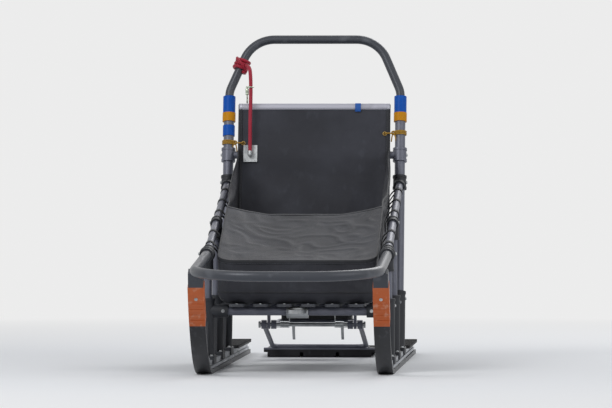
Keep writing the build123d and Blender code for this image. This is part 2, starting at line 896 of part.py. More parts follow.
save_pair("bow_collar", ring_at(upright_top_z, collar_height, collar_radius, bow_radius))
save_pair("clamp_ring", make_clamp_ring())
wrap = ring_at(wrap_z, wrap_height, upright_radius + wrap_thick, upright_radius)
save("tape_wrap", mirror(wrap, about=Plane.YZ))
save("bed_slats", make_slats())
save_pair("foot_pad", make_foot_pad())
save("tow_plate", make_tow_plate())
save("hinge_pin", make_hinge_pin())
save("brake_frame", make_brake_frame())
save("brake_claws", make_brake_claws())
save("brake_pedal", make_brake_pedal())
save("mat_frame", make_mat_frame())
save("drag_mat", make_drag_mat())
save("bag_floor", make_bag_floor())
save_pair("bag_side", make_bag_side())
save("bag_nose", make_bag_nose())
save("bag_back", make_bag_back())
save("bag_cover", make_bag_cover())
save("red_line", make_line())
save("line_knot", make_knot())
save("line_snap", make_snap())
save("line_anchor", make_anchor())
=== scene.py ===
import bpy
import math
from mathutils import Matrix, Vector, noise


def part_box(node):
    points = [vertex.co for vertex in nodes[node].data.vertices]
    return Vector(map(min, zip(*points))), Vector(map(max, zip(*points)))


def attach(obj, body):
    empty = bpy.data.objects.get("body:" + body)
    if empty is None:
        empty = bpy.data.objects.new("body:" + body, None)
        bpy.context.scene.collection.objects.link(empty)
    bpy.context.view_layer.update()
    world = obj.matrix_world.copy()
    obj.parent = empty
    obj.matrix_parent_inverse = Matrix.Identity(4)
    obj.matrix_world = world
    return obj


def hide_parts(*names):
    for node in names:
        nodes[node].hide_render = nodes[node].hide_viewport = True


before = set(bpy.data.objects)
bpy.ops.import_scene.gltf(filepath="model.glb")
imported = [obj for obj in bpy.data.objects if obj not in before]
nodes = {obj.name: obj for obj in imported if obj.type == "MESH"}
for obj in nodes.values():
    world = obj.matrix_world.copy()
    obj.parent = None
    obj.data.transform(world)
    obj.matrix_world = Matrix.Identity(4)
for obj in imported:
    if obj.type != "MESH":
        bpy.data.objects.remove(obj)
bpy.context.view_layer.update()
scene = bpy.context.scene
print("frame loaded:", len(nodes), "nodes")

# The sled's own places, in metres. It faces -Y, and +X is its own left side.
sled = {
    "sideX": 0.250,
    "frontY": -0.450,
    "midY": -0.075,
    "rearY": 0.300,
    "bendY": -0.5424,
    "bendRadius": 0.420,
    "runnerTop": 0.036,
    "hingeY": 0.3359,
    "hingeZ": 0.110,
    "barZ": 0.170,
    "slatTopZ": 0.1907,
    "crossZ": 0.600,
    "railFrontZ": 0.328,
    "railRise": 0.2183,
    "railRadius": 0.011,
    "uprightRadius": 0.015,
    "lean": math.radians(15),
}
upward = Vector((0, 0, 1))
upPanel = Vector((0, math.sin(sled["lean"]), math.cos(sled["lean"])))
offPanel = Vector((0, -math.cos(sled["lean"]), math.sin(sled["lean"])))  # square to the uprights, forward


def leanY(z):
    return sled["rearY"] + (z - sled["runnerTop"]) * math.tan(sled["lean"])


def railPoint(side, y):
    return Vector((side * sled["sideX"], y, sled["railFrontZ"] + (y - sled["frontY"]) * sled["railRise"]))


def addObject(name, data):
    holder = bpy.data.objects.new(name, data)
    scene.collection.objects.link(holder)
    return holder


def aimAt(holder, place, target):
    holder.location = place
    holder.rotation_euler = (Vector(target) - holder.location).to_track_quat("-Z", "Y").to_euler()


# Camera: level, long lens, a little to the sled's own left
camera = {
    "distance": 18.0,
    "height": 0.64,
    "azimuth": math.radians(3.0),
    "target": (0.0, 0.0, 0.462),
    "pixelsPerMetre": 352,
    "frameWidth": 612,
    "sensor": 36.0,
}


def makeCamera():
    data = bpy.data.cameras.new("pictureCamera")
    data.sensor_width = camera["sensor"]
    data.lens = camera["sensor"] * camera["pixelsPerMetre"] * camera["distance"] / camera["frameWidth"]
    data.clip_end = 100
    scene.camera = addObject("pictureCamera", data)
    away, angle = camera["distance"], camera["azimuth"]
    aimAt(scene.camera, (away * math.sin(angle), -away * math.cos(angle), camera["height"]), camera["target"])


makeCamera()
print("camera placed")

# Material tools
materials = {}


def tone(text):  # sRGB hex to a linear colour
    values = [int(text[index:index + 2], 16) / 255 for index in (1, 3, 5)]
    return [v / 12.92 if v <= 0.04045 else ((v + 0.055) / 1.055) ** 2.4 for v in values] + [1.0]


def addNode(tree, kind, inputs, **settings):
    node = tree.nodes.new(kind)
    for key, value in settings.items():
        setattr(node, key, value)
    for key, value in inputs.items():
        if isinstance(value, bpy.types.NodeSocket):
            tree.links.new(value, node.inputs[key])
        else:
            node.inputs[key].default_value = value
    return node


def nodeOut(tree, kind, inputs, **settings):  # a new node's first output
    return addNode(tree, kind, inputs, **settings).outputs[0]


def maths(tree, operation, first, second=0.0):
    return nodeOut(tree, "ShaderNodeMath", {0: first, 1: second}, operation=operation)


def times(tree, first, second):
    return maths(tree, "MULTIPLY", first, second)


def plus(tree, first, second):
    return maths(tree, "ADD", first, second)


def coordsOf(tree, source):
    return addNode(tree, "ShaderNodeTexCoord", {}).outputs[source]


def noiseAt(tree, scale, stretch=(1, 1, 1), detail=4.0):
    mapped = nodeOut(tree, "ShaderNodeMapping", {"Vector": coordsOf(tree, "Object"), "Scale": stretch})
    return nodeOut(tree, "ShaderNodeTexNoise", {"Vector": mapped, "Scale": scale, "Detail": detail})


def ramp(tree, factor, low, high, first=0.0, last=1.0):  # values below low give first, above high give last
    return nodeOut(tree, "ShaderNodeMapRange", {
        "Value": factor, "From Min": low, "From Max": high, "To Min": first, "To Max": last})


def bump(tree, shader, height, distance, under=None):  # under is a coarser relief's normal
    inputs = {"Height": height, "Distance": distance}
    if under:
        inputs["Normal"] = under
    normal = nodeOut(tree, "ShaderNodeBump", inputs)
    tree.links.new(normal, shader.inputs["Normal"])
    return normal


def startMaterial(name, colour, roughness, **sockets):
    material = bpy.data.materials.new(name)
    material.use_nodes = True
    materials[name] = material
    shader = material.node_tree.nodes["Principled BSDF"]
    shader.inputs["Base Color"].default_value = tone(colour)
    shader.inputs["Roughness"].default_value = roughness
    for key, value in sockets.items():
        shader.inputs[key.replace("_", " ")].default_value = value
    return material.node_tree, shader


def feed(tree, shader, factor, first, second, roughness=None):  # two colours mixed, and the roughness
    mixed = addNode(tree, "ShaderNodeMix", {0: factor, 6: tone(first), 7: tone(second)}, data_type="RGBA")
    tree.links.new(mixed.outputs[2], shader.inputs["Base Color"])
    if roughness:
        tree.links.new(roughness, shader.inputs["Roughness"])


# Moulded plastics and rubbers: a fine grain, a slow change of tone, and scuffs drawn out along the sled
mouldedFinishes = {  # colour, scuffed colour, roughness, depth of the grain, share of scuffs, shine
    "shoePlastic": ("#1f2024", "#6a6c72", 0.38, 0.00006, 0.34, 0.40),
    "tipPlastic": ("#b85a2a", "#d0aa92", 0.46, 0.00006, 0.46, 0.30),
    "castPlastic": ("#26282d", "#4d5057", 0.52, 0.00010, 0.16, 0.40),
    "slatPlastic": ("#3a3c42", "#6b6e75", 0.48, 0.00007, 0.26, 0.40),
    "collarPlastic": ("#0050b0", "#3a7cc8", 0.42, 0.00003, 0.10, 0.18),
    "ringPlastic": ("#cc8800", "#dca540", 0.42, 0.00003, 0.12, 0.18),
    "padRubber": ("#1b1b1d", "#45464a", 0.70, 0.00012, 0.30, 0.35),
    "matRubber": ("#202022", "#505156", 0.74, 0.00014, 0.40, 0.35),
}


def makeMoulded(name, colour, scuffed, rough, grain, share, shine):
    tree, shader = startMaterial(name, colour, rough, Specular_IOR_Level=shine)
    patches = ramp(tree, noiseAt(tree, 9.0), 0.35, 0.70)
    scuffs = ramp(tree, noiseAt(tree, 60.0, stretch=(1, 0.12, 1), detail=8.0), 0.56, 0.74)
    worn = plus(tree, times(tree, scuffs, share), times(tree, patches, 0.10))
    feed(tree, shader, worn, colour, scuffed, ramp(tree, worn, 0.0, 0.5, rough, min(1.0, rough + 0.22)))
    relief = maths(tree, "SUBTRACT", noiseAt(tree, 1400.0, detail=2.0), times(tree, scuffs, 0.6))
    bump(tree, shader, relief, grain)


# Painted tubes: powder coat with a slight orange peel, rubbed thin where it is gripped and tied
paintFinishes = {  # colour, rubbed colour, roughness, share of rubbing
    "bowPaint": ("#3f4249", "#74777d", 0.36, 0.30),
    "framePaint": ("#666874", "#9a9ca4", 0.40, 0.26),
}


def makePaint(name, colour, thin, rough, share):
    tree, shader = startMaterial(name, colour, rough, Metallic=0.25)
    rubbed = ramp(tree, noiseAt(tree, 26.0, detail=7.0), 0.55, 0.72)
    chips = ramp(tree, noiseAt(tree, 210.0, detail=3.0), 0.70, 0.73)
    worn = plus(tree, times(tree, rubbed, share), times(tree, chips, 0.35))
    feed(tree, shader, worn, colour, thin, ramp(tree, rubbed, 0.0, 1.0, rough, rough + 0.16))
    bump(tree, shader, maths(tree, "SUBTRACT", noiseAt(tree, 420.0, detail=1.0), chips), 0.00005)


# Bare metals: drawn lines one way and dull patches
metalFinishes = {  # colour, dull colour, roughness, stretch of the drawn lines, their scale
    "railMetal": ("#a4a8ad", "#7d8187", 0.30, (1, 0.02, 1), 900.0),
    "steel": ("#b3b6b8", "#7f8285", 0.28, (0.2, 1, 1), 700.0),
    "boltSteel": ("#c3c6c8", "#8e9194", 0.24, (1, 1, 1), 500.0),
    "snapMetal": ("#b9c4b2", "#8b9483", 0.26, (1, 1, 0.3), 600.0),
    "brass": ("#c4a566", "#8a7142", 0.32, (1, 1, 1), 600.0),
}


def makeMetal(name, colour, dull, rough, stretch, scale):
    tree, shader = startMaterial(name, colour, rough, Metallic=1.0)
    lines = noiseAt(tree, scale, stretch, 3.0)
    patches = ramp(tree, noiseAt(tree, 18.0, detail=6.0), 0.45, 0.70)
    uneven = plus(tree, ramp(tree, lines, 0.3, 0.7, rough, rough + 0.12), times(tree, patches, 0.14))
    feed(tree, shader, patches, colour, dull, uneven)
    bump(tree, shader, lines, 0.00002)


# Cloths read their own flat UV map, which is in metres
clothFinishes = {  # colour, faded colour, roughness, thread, depth of the weave, sheen, height of the creases
    "bagCloth": ("#26272d", "#45474f", 0.60, 0.0011, 0.00022, 0.06, 0.005),
    "backCloth": ("#2c2d34", "#4c4e58", 0.60, 0.0011, 0.00022, 0.06, 0.005),
    # liningCloth (the bag's floor) has its colour lifted a little, as painted light for the shaded inside under the
    # cover
    "liningCloth": ("#2b2c32", "#46474e", 0.70, 0.0009, 0.00015, 0.05, 0.004),
    "webbing": ("#1e1f23", "#3f4147", 0.60, 0.0016, 0.00035, 0.08, 0.0),
    "blueWebbing": ("#1a55aa", "#4a7cc4", 0.55, 0.0016, 0.00035, 0.08, 0.0),
    "ochreCord": ("#a67c26", "#cba656", 0.62, 0.0012, 0.00030, 0.10, 0.0),
    "redBraid": ("#a01830", "#c84c60", 0.50, 0.0014, 0.00030, 0.12, 0.0),
    "thread": ("#5c5e68", "#868893", 0.55, 0.0005, 0.00005, 0.05, 0.0),
}
bandSpacing = 0.314  # between a wave texture's bands at scale 1


def makeCloth(name, colour, faded, rough, thread, depth, sheen, creaseHeight):
    tree, shader = startMaterial(
        name, colour, rough, Specular_IOR_Level=0.30, Sheen_Weight=sheen, Sheen_Roughness=0.45)
    wave = {"Vector": coordsOf(tree, "UV"), "Scale": bandSpacing / (2 * thread), "Distortion": 0.6}
    warp, weft = [addNode(tree, "ShaderNodeTexWave", wave, bands_direction=way).outputs[1] for way in "XY"]
    weave = times(tree, warp, weft)
    fade = ramp(tree, noiseAt(tree, 7.0, detail=8.0), 0.40, 0.75)
    creases = ramp(tree, noiseAt(tree, 38.0, stretch=(1, 1, 0.5), detail=6.0), 0.58, 0.72)
    worn = plus(tree, times(tree, fade, 0.40), times(tree, creases, 0.22))
    feed(tree, shader, plus(tree, worn, times(tree, weave, 0.16)), colour, faded)
    folds = None
    if creaseHeight:  # sharp ridges that wander over the cloth
        wander = nodeOut(tree, "ShaderNodeMapping", {"Vector": coordsOf(tree, "Object"), "Scale": (1, 1, 0.7)})
        ridges = {"Vector": wander, "Scale": 8.0, "Detail": 2.0, "Distortion": 0.9}
        relief = nodeOut(tree, "ShaderNodeTexNoise", ridges, noise_type="RIDGED_MULTIFRACTAL")
        folds = bump(tree, shader, relief, creaseHeight)
    height = plus(tree, weave, times(tree, noiseAt(tree, 60.0, detail=5.0), 2.0))
    bump(tree, shader, height, depth, folds)


def makeReflective(name, colour, rough):  # pale retroreflective tape: fine glass-bead grain over silver grey
    tree, shader = startMaterial(name, colour, rough, Metallic=0.35)
    beads = noiseAt(tree, 1600.0, detail=2.0)
    dirt = times(tree, ramp(tree, noiseAt(tree, 22.0, detail=7.0), 0.50, 0.78), 0.5)
    feed(tree, shader, dirt, "#b9b9c4", "#77777f", ramp(tree, beads, 0.3, 0.7, 0.28, 0.44))
    bump(tree, shader, beads, 0.00004)


for makeFinish, finishes in (
        (makeMoulded, mouldedFinishes), (makePaint, paintFinishes), (makeMetal, metalFinishes),
        (makeCloth, clothFinishes), (makeReflective, {"reflectiveTape": ("#b4b4be", 0.34)})):
    for name, values in finishes.items():
        makeFinish(name, *values)
print("materials made:", len(materials))


# Mesh tools. A piece's parts are its points, its faces and the UVs of each face.
def addPiece(name, parts, material, smooth=True):
    verts, faces, faceUvs = parts
    mesh = bpy.data.meshes.new(name)
    mesh.from_pydata([tuple(v) for v in verts], [], faces)
    if faceUvs:
        layer = mesh.uv_layers.new(name="flat")
        layer.data.foreach_set("uv", [value for uvs in faceUvs for uv in uvs for value in uv])
    for polygon in mesh.polygons:
        polygon.use_smooth = smooth
    mesh.materials.append(material)
    return addObject(name, mesh)


def finishPiece(piece, body="sled"):
    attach(piece, body)
    return piece


def addJoined(name, partsList, finish, body="sled"):  # several parts as one piece
    verts, faces, faceUvs = [], [], []
    for more, moreFaces, moreUvs in partsList:
        offset = len(verts)
        verts += more
        faces += [tuple(offset + index for index in face) for face in moreFaces]
        faceUvs += moreUvs
    return finishPiece(addPiece(name, (verts, faces, faceUvs), materials[finish]), body)


def evaluatedMesh(holder):
    return bpy.data.meshes.new_from_object(holder.evaluated_get(bpy.context.evaluated_depsgraph_get()))


def applyModifiers(piece):  # the evaluated mesh becomes the piece's own
    mesh = evaluatedMesh(piece)
    piece.modifiers.clear()
    piece.data = mesh


def squareTo(direction, axis):  # what a direction has square to an axis
    return (direction - axis * direction.dot(axis)).normalized()


def spoke(first, second, angle):
    return first * math.cos(angle) + second * math.sin(angle)


def pathFrames(points):  # centre, tangent, side and up at each point, without twist
    last = len(points) - 1
    tangents = [(points[min(i + 1, last)] - points[max(i - 1, 0)]).normalized() for i in range(len(points))]
    side = tangents[0].orthogonal().normalized()
    frames = []
    for point, tangent in zip(points, tangents):
        side = squareTo(side, tangent)
        frames.append((point, tangent, side, tangent.cross(side)))
    return frames


def lengthsAlong(points):
    lengths = [0.0]
    for here, ahead in zip(points, points[1:]):
        lengths.append(lengths[-1] + (ahead - here).length)
    return lengths


cornerOrders = {  # a face's corners, as steps in row and column
    "tube": ((0, 0), (0, 1), (1, 1), (1, 0)),
    "ring": ((0, 0), (1, 0), (1, 1), (0, 1)),
    "ribbon": ((0, 1), (0, 0), (1, 0), (1, 1)),
    "sheet": ((0, 1), (1, 1), (1, 0), (0, 0)),
}


def quadFaces(rows, columns, uvAt, order, wrapped=True, closed=False):
    faces, faceUvs = [], []
    for j in range(rows if closed else rows - 1):
        for k in range(columns if wrapped else columns - 1):
            corners = [(j + down, k + across) for down, across in cornerOrders[order]]
            faces.append(tuple(row % rows * columns + column % columns for row, column in corners))
            faceUvs.append([uvAt(row, column) for row, column in corners])
    return faces, faceUvs


def shellParts(rings, uvAt, order):  # rings of points joined up, with both ends capped
    rows, sides = len(rings), len(rings[0])
    faces, faceUvs = quadFaces(rows, sides, uvAt, order)
    first, last = tuple(range(sides)), tuple(range((rows - 1) * sides, rows * sides))
    faces += [first[::-1], last] if order == "tube" else [first, last[::-1]]
    faceUvs += [[(0.0, 0.0)] * sides] * 2
    return [point for ring in rings for point in ring], faces, faceUvs


def tubeParts(points, radius, sides=8, ripple=None):
    lengths = lengthsAlong(points)
    angles = [2 * math.pi * k / sides for k in range(sides)]
    step = 2 * math.pi * radius / sides
    rings = []
    for (centre, _, side, up), length in zip(pathFrames(points), lengths):
        rings.append([centre + spoke(side, up, angle) * (radius * (ripple(angle, length) if ripple else 1.0))
                      for angle in angles])
    return shellParts(rings, lambda row, column: (column * step, lengths[row]), "tube")


def ribbonParts(points, wide, width, thick):  # flat webbing: wide is the direction of its width
    edge, half, top = min(thick, width) * 0.35, width / 2, thick / 2
    section = ((half - edge, top), (half, 0), (half - edge, -top),
               (-half + edge, -top), (-half, 0), (-half + edge, top))
    around = (0.0, edge, 2 * edge, width, width + edge, width + 2 * edge, 2 * width)
    lengths = lengthsAlong(points)
    rings = []
    for centre, tangent, _, _ in pathFrames(points):
        across = squareTo(wide, tangent)
        out = tangent.cross(across)
        rings.append([centre + across * a + out * b for a, b in section])
    return shellParts(rings, lambda row, column: (around[column], lengths[row]), "ribbon")


def latheParts(centre, axis, profile, sides=20):  # profile rows are (along, radius)
    side = axis.orthogonal().normalized()
    up = axis.cross(side)
    rings = []
    for along, radius in profile:
        rings.append([centre + axis * along + spoke(side, up, 2 * math.pi * k / sides) * max(radius, 0.00002)
                      for k in range(sides)])
    return shellParts(rings, lambda row, column: (column * 0.001, profile[row][0]), "tube")


def ringParts(centre, along, across, radius, thickness, count, sides):  # closed ring of round section
    axis = along.cross(across)
    step, run = 2 * math.pi * thickness / sides, 2 * math.pi * radius / count
    verts = []
    for i in range(count):
        out = spoke(along, across, 2 * math.pi * i / count)
        for k in range(sides):
            angle = 2 * math.pi * k / sides
            verts.append(centre + out * (radius + thickness * math.cos(angle)) + axis * (thickness * math.sin(angle)))
    return verts, *quadFaces(count, sides, lambda row, column: (column * step, row * run), "ring", closed=True)


def arcPoints(centre, along, across, radius, start, end, count):  # start and end in degrees
    points = []
    for k in range(count + 1):
        angle = math.radians(start + (end - start) * k / count)
        points.append(centre + along * (radius * math.cos(angle)) + across * (radius * math.sin(angle)))
    return points


def helixPoints(centre, first, second, radius, start, turns, steps, pitch):  # pitch is one turn's way along the axis
    points = []
    for k in range(int(abs(turns) * steps) + 1):
        angle = start + math.copysign(2 * math.pi * k / steps, turns)
        points.append(centre + spoke(first, second, angle) * radius + pitch * (k / steps))
    return points


def catmull(points, steps):  # a curve through the points, centripetal, so that uneven spacing makes no loop
    line = []
    gaps = [math.sqrt((b - a).length) for a, b in zip(points, points[1:])]
    last = len(points) - 1
    for i in range(last):
        b, c, gap = points[i], points[i + 1], gaps[i]
        leave = arrive = c - b
        if i > 0:
            before = gaps[i - 1]
            leave = gap * ((b - points[i - 1]) / before - (c - points[i - 1]) / (before + gap) + (c - b) / gap)
        if i + 1 < last:
            after = gaps[i + 1]
            arrive = gap * ((c - b) / gap - (points[i + 2] - b) / (gap + after) + (points[i + 2] - c) / after)
        for k in range(steps):
            t = k / steps
            t2, t3 = t * t, t * t * t
            line.append(b * (2 * t3 - 3 * t2 + 1) + leave * (t3 - 2 * t2 + t)
                        + c * (3 * t2 - 2 * t3) + arrive * (t3 - t2))
    line.append(points[-1])
    return line


def smoothLine(points, count):  # a NURBS curve through the control points' pull, read back as points
    data = bpy.data.curves.new("guide", "CURVE")
    data.dimensions = "3D"
    spline = data.splines.new("NURBS")
    spline.points.add(len(points) - 1)
    for control, point in zip(spline.points, points):
        control.co = (*point, 1.0)
    spline.order_u = 3
    spline.use_endpoint_u = True
    spline.resolution_u = count
    holder = addObject("guide", data)
    mesh = evaluatedMesh(holder)
    line = [vertex.co.copy() for vertex in mesh.vertices]
    bpy.data.objects.remove(holder)
    bpy.data.curves.remove(data)
    bpy.data.meshes.remove(mesh)
    return line


# Red line: tied to the bow's leg, down to its anchor on the back panel
redLine = {
    "route": [
        (-0.200, 0.497, 0.862),
        (-0.190, 0.470, 0.858),
        (-0.185, 0.450, 0.834),
        (-0.184, 0.446, 0.775),
        (-0.186, 0.439, 0.700),
        (-0.185, 0.424, 0.640),
        (-0.185, 0.417, 0.612),
    ],
    "length": 0.284,
    "radius": 0.0055,
    "strands": 8,
    "pitch": 0.024,
    "relief": 0.07,
}


def braid(angle, along):  # two families of strands crossing over each other
    half, turn = redLine["strands"] / 2, 2 * math.pi * along / redLine["pitch"]
    crest = max(math.cos(half * (angle + turn)), math.cos(half * (angle - turn)))
    return 1.0 - redLine["relief"] + redLine["relief"] * crest


linePoints = smoothLine(redLine["route"], 48)
lineBraid = addJoined("redLineBraid", [tubeParts(linePoints, redLine["radius"], 24, braid)], "redBraid")
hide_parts("red_line")
print("red line laid:", len(linePoints), "points")

# Cloth tools. A sheet's dictionary has its rows and columns, and what its simulation and its creases need.
clothSettings = {
    "quality": 6,
    "mass": 0.25,
    "tension_stiffness": 22,
    "compression_stiffness": 22,
    "shear_stiffness": 6,
    "bending_stiffness": 1.4,
    "air_damping": 2,
    "vertex_group_mass": "sewn",
    "vertex_group_shrink": "slack",
    "shrink_min": 0.0,
}
clothFrames = 18
creaseSeed = 7
noise.seed_set(creaseSeed)  # so that the creases fall in the same places in each run


def makeGrid(sheet, place):  # rows of points
    return [[Vector(place(j, k)) for k in range(sheet["columns"])] for j in range(sheet["rows"])]


def weigh(sheet, rule):
    return [float(rule(j, k)) for j in range(sheet["rows"]) for k in range(sheet["columns"])]


def gridPiece(name, grid, finish, order):  # a sheet with its UVs in metres
    along = lengthsAlong(grid[len(grid) // 2])
    up = [lengthsAlong(column) for column in zip(*grid)]
    faces, faceUvs = quadFaces(
        len(grid), len(grid[0]), lambda row, column: (along[column], up[column][row]), order, wrapped=False)
    return addPiece(name, ([point for row in grid for point in row], faces, faceUvs), materials[finish])


def keepWithin(point, widest):
    if widest and abs(point.x) > widest:
        point.x = math.copysign(widest, point.x)


def relax(piece, sheet, sewn, slack):  # cloth simulation, its result kept in the mesh
    before = [vertex.co.copy() for vertex in piece.data.vertices]
    for name, weights in (("sewn", sewn), ("slack", slack)):
        group = piece.vertex_groups.new(name=name)
        for index, weight in enumerate(weights):
            group.add([index], weight, "REPLACE")
    cloth = piece.modifiers.new("cloth", "CLOTH")
    for key, value in clothSettings.items():
        setattr(cloth.settings, key, value)
    cloth.settings.shrink_max = -sheet["slack"]
    cloth.collision_settings.use_collision = False
    cloth.collision_settings.use_self_collision = False
    cloth.point_cache.frame_end = clothFrames
    for step in range(1, clothFrames + 1):
        scene.frame_set(step)
    applyModifiers(piece)
    scene.frame_set(1)
    for vertex, start in zip(piece.data.vertices, before):
        moved = vertex.co - start
        if moved.length > sheet["sag"]:
            vertex.co = start + moved * (sheet["sag"] / moved.length)
        keepWithin(vertex.co, sheet.get("widest"))


def creaseAt(place, size):  # slow swells with sharper folds that wander across them
    turned = place / size + 0.7 * noise.noise_vector(place / (1.6 * size))
    fold = 1.0 - min(1.0, 2.6 * abs(noise.noise(turned * 1.4 + Vector((5.0, 3.0, 9.0)))))
    return 0.8 * noise.noise(turned) + 0.9 * fold ** 1.5 - 0.25


def crumple(piece, sheet, weights):  # handling creases, in the mesh itself
    mesh = piece.data
    normals = [vertex.normal.copy() for vertex in mesh.vertices]
    for vertex, normal, weight in zip(mesh.vertices, normals, weights):
        vertex.co += normal * (sheet["creaseDepth"] * weight * creaseAt(vertex.co, sheet["creaseSize"]))
        keepWithin(vertex.co, sheet.get("widest"))
    mesh.update()


def closeSheet(piece, levels=1):  # the sheet gets finer and gets its two faces
    if levels:
        finer = piece.modifiers.new("finer", "SUBSURF")
        finer.levels = levels
        finer.render_levels = levels
        finer.boundary_smooth = "PRESERVE_CORNERS"
    thick = piece.modifiers.new("thick", "SOLIDIFY")
    thick.thickness = bag["clothThickness"]
    thick.offset = 0.0
    applyModifiers(piece)
    for polygon in piece.data.polygons:
        polygon.use_smooth = True
    return finishPiece(piece)


def rowPoints(piece, sheet, row):  # one row of a sheet before it is closed
    first = sheet["columns"] * row
    return [vertex.co.copy() for vertex in piece.data.vertices[first:first + sheet["columns"]]]


# Bag: cloth walls round the bed, floor, front cover and tall back panel, sewn together
bag = {
    "halfWidth": 0.2200,
    "frontY": -0.5030,
    "floorZ": 0.1929,
    "noseZ": 0.3105,
    "rearY": 0.4407,
    "rearZ": 0.6190,
    "mouthY": -0.0600,
    "backTopZ": 0.7490,
    "panelOffset": 0.01365,
    "cornerRadius": 0.045,
    "bottomRadius": 0.030,
    "sideColumns": 96,
    "cornerColumns": 8,
    "noseColumns": 44,
    "filletRows": 4,
    "wallRows": 24,
    "clothThickness": 0.0018,
    "slack": 0.045,
    "sag": 0.020,
    "creaseDepth": 0.0030,
    "creaseSize": 0.075,
    "widest": 0.2258,
    "leastSlack": 0.12,
    "hemRows": 6,  # the slack fades over so many rows or columns
    "endColumns": 8,
    "floorRows": 5,
}
bag["columns"] = 2 * (bag["sideColumns"] + bag["cornerColumns"]) + bag["noseColumns"] + 1
bag["rows"] = bag["filletRows"] + bag["wallRows"] + 1
bag["rise"] = (bag["rearZ"] - bag["noseZ"]) / (bag["rearY"] - bag["frontY"])

# Webbing loops that hang the bag on the side rails
railLoop = {
    "places": [-0.350, -0.215, 0.030, 0.165, 0.300],
    "width": 0.020,
    "thickness": 0.0016,
    "gap": 0.0004,
    "tailDrop": 0.052,
    "tailX": 0.0268,
    "innerTail": ((1.0, 1.0), (1.0, 0.7), (1.0, 0.42), (0.80, 0.12)),  # shares of tailX and of tailDrop
    "outerTail": ((0.80, 0.34), (1.0, 0.52), (1.0, 0.75), (1.0, 0.98)),
    "seamAside": 0.016,
    "seamLow": 0.058,
    "seamHigh": 0.014,
    "seamMiddle": 0.036,
    "calmFrom": 0.028,
    "calmOver": 0.030,
    "boxHalf": 0.36,  # the stitched box: a share of the width, and shares of tailDrop
    "boxLow": 0.92,
    "boxHigh": 0.60,
}


def hemZ(y):
    return bag["noseZ"] + (y - bag["frontY"]) * bag["rise"]


def panelY(z):
    return leanY(z) - bag["panelOffset"]


def wallPlace(k, z, inset=0.0):  # where column k of the walls stands in plan, at height z
    total = bag["columns"] - 1
    side = 1
    if k > total / 2:
        side, k = -1, total - k
    half, radius = bag["halfWidth"], bag["cornerRadius"]
    cornerY = bag["frontY"] + radius
    if k <= bag["sideColumns"]:
        rear = panelY(z)
        return side * (half - inset), rear + (cornerY - rear) * k / bag["sideColumns"]
    k -= bag["sideColumns"]
    if k <= bag["cornerColumns"]:
        angle = math.pi / 2 * k / bag["cornerColumns"]
        reach = radius - inset
        return side * (half - radius + reach * math.cos(angle)), cornerY - reach * math.sin(angle)
    k -= bag["cornerColumns"]
    return side * (half - radius) * (1 - 2 * k / bag["noseColumns"]), bag["frontY"] + inset


def wallPoint(j, k):
    radius = bag["bottomRadius"]
    if j <= bag["filletRows"]:
        angle = math.pi / 2 * j / bag["filletRows"]
        z = bag["floorZ"] + radius * (1 - math.cos(angle))
        inset = radius * (1 - math.sin(angle))
    else:
        top = 0.4
        for _ in range(6):  # the hem's height and its place along the sled depend on each other
            top = hemZ(wallPlace(k, top)[1])
        low = bag["floorZ"] + radius
        z = low + (top - low) * (j - bag["filletRows"]) / bag["wallRows"]
        inset = 0.0
    return *wallPlace(k, z, inset), z


def nearLoop(point):  # where a rail loop is sewn to the wall
    if abs(point.x) < bag["halfWidth"] - 0.02:
        return False
    for y in railLoop["places"]:
        rail = railPoint(1, y).z
        level = rail - railLoop["seamLow"] < point.z < rail - railLoop["seamHigh"]
        if level and abs(point.y - y) < railLoop["seamAside"]:
            return True
    return False


def fromLoops(point):  # 0 at a rail loop's seam, 1 well away from all of them
    least = 1.0
    for y in railLoop["places"]:
        away = math.hypot(point.y - y, point.z - (railPoint(1, y).z - railLoop["seamMiddle"]))
        least = min(least, max(0.0, away - railLoop["calmFrom"]) / railLoop["calmOver"])
    return least


def makeWalls():
    grid = makeGrid(bag, wallPoint)
    walls = gridPiece("bagWalls", grid, "bagCloth", "ring")
    least, most, lastRow, lastColumn = bag["leastSlack"], 1 - bag["leastSlack"], bag["rows"] - 1, bag["columns"] - 1

    def isSewn(j, k):
        point = grid[j][k]
        underCover = j == lastRow and point.y < bag["mouthY"] + 0.006
        return j == 0 or k in (0, lastColumn) or underCover or nearLoop(point)

    def slackAt(j, k):
        fromHem = min(1.0, (lastRow - j) / bag["hemRows"])
        fromEnd = min(1.0, min(k, lastColumn - k) / bag["endColumns"])
        fromFloor = min(1.0, j / bag["floorRows"])
        return least + most * fromHem * fromEnd * fromFloor

    relax(walls, bag, weigh(bag, isSewn), weigh(bag, slackAt))
    crumple(walls, bag, weigh(bag, lambda j, k: max(0.0, slackAt(j, k) - least) * fromLoops(grid[j][k])))
    hem, foot = rowPoints(walls, bag, lastRow), rowPoints(walls, bag, bag["filletRows"])
    return closeSheet(walls), hem, foot


floorSheet = {"rows": 60, "columns": 40, "calmEdge": 0.03, "wave": 0.0007, "sink": 0.0004}


def floorPoint(j, k):
    half = bag["halfWidth"] - bag["bottomRadius"]
    rearY = panelY(bag["floorZ"])
    frontY = bag["frontY"] + bag["bottomRadius"]
    x = half * (2 * k / (floorSheet["columns"] - 1) - 1)
    y = rearY + (frontY - rearY) * j / (floorSheet["rows"] - 1)
    edge = min(1.0, *[away / floorSheet["calmEdge"] for away in (half - abs(x), y - frontY, rearY - y)])
    wave = floorSheet["wave"] * noise.noise(Vector((x * 9, y * 5, 3.0))) - floorSheet["sink"]
    return x, y, bag["floorZ"] + wave * max(0.0, edge)


cover = {
    "rows": 64,
    "columns": 62,
    "slack": 0.045,
    "sag": 0.024,
    "creaseDepth": 0.0030,
    "creaseSize": 0.088,
    "sewnRows": 5,  # the slack fades over so many rows or columns
    "mouthRows": 7,
    "mouthSlack": 0.25,
}


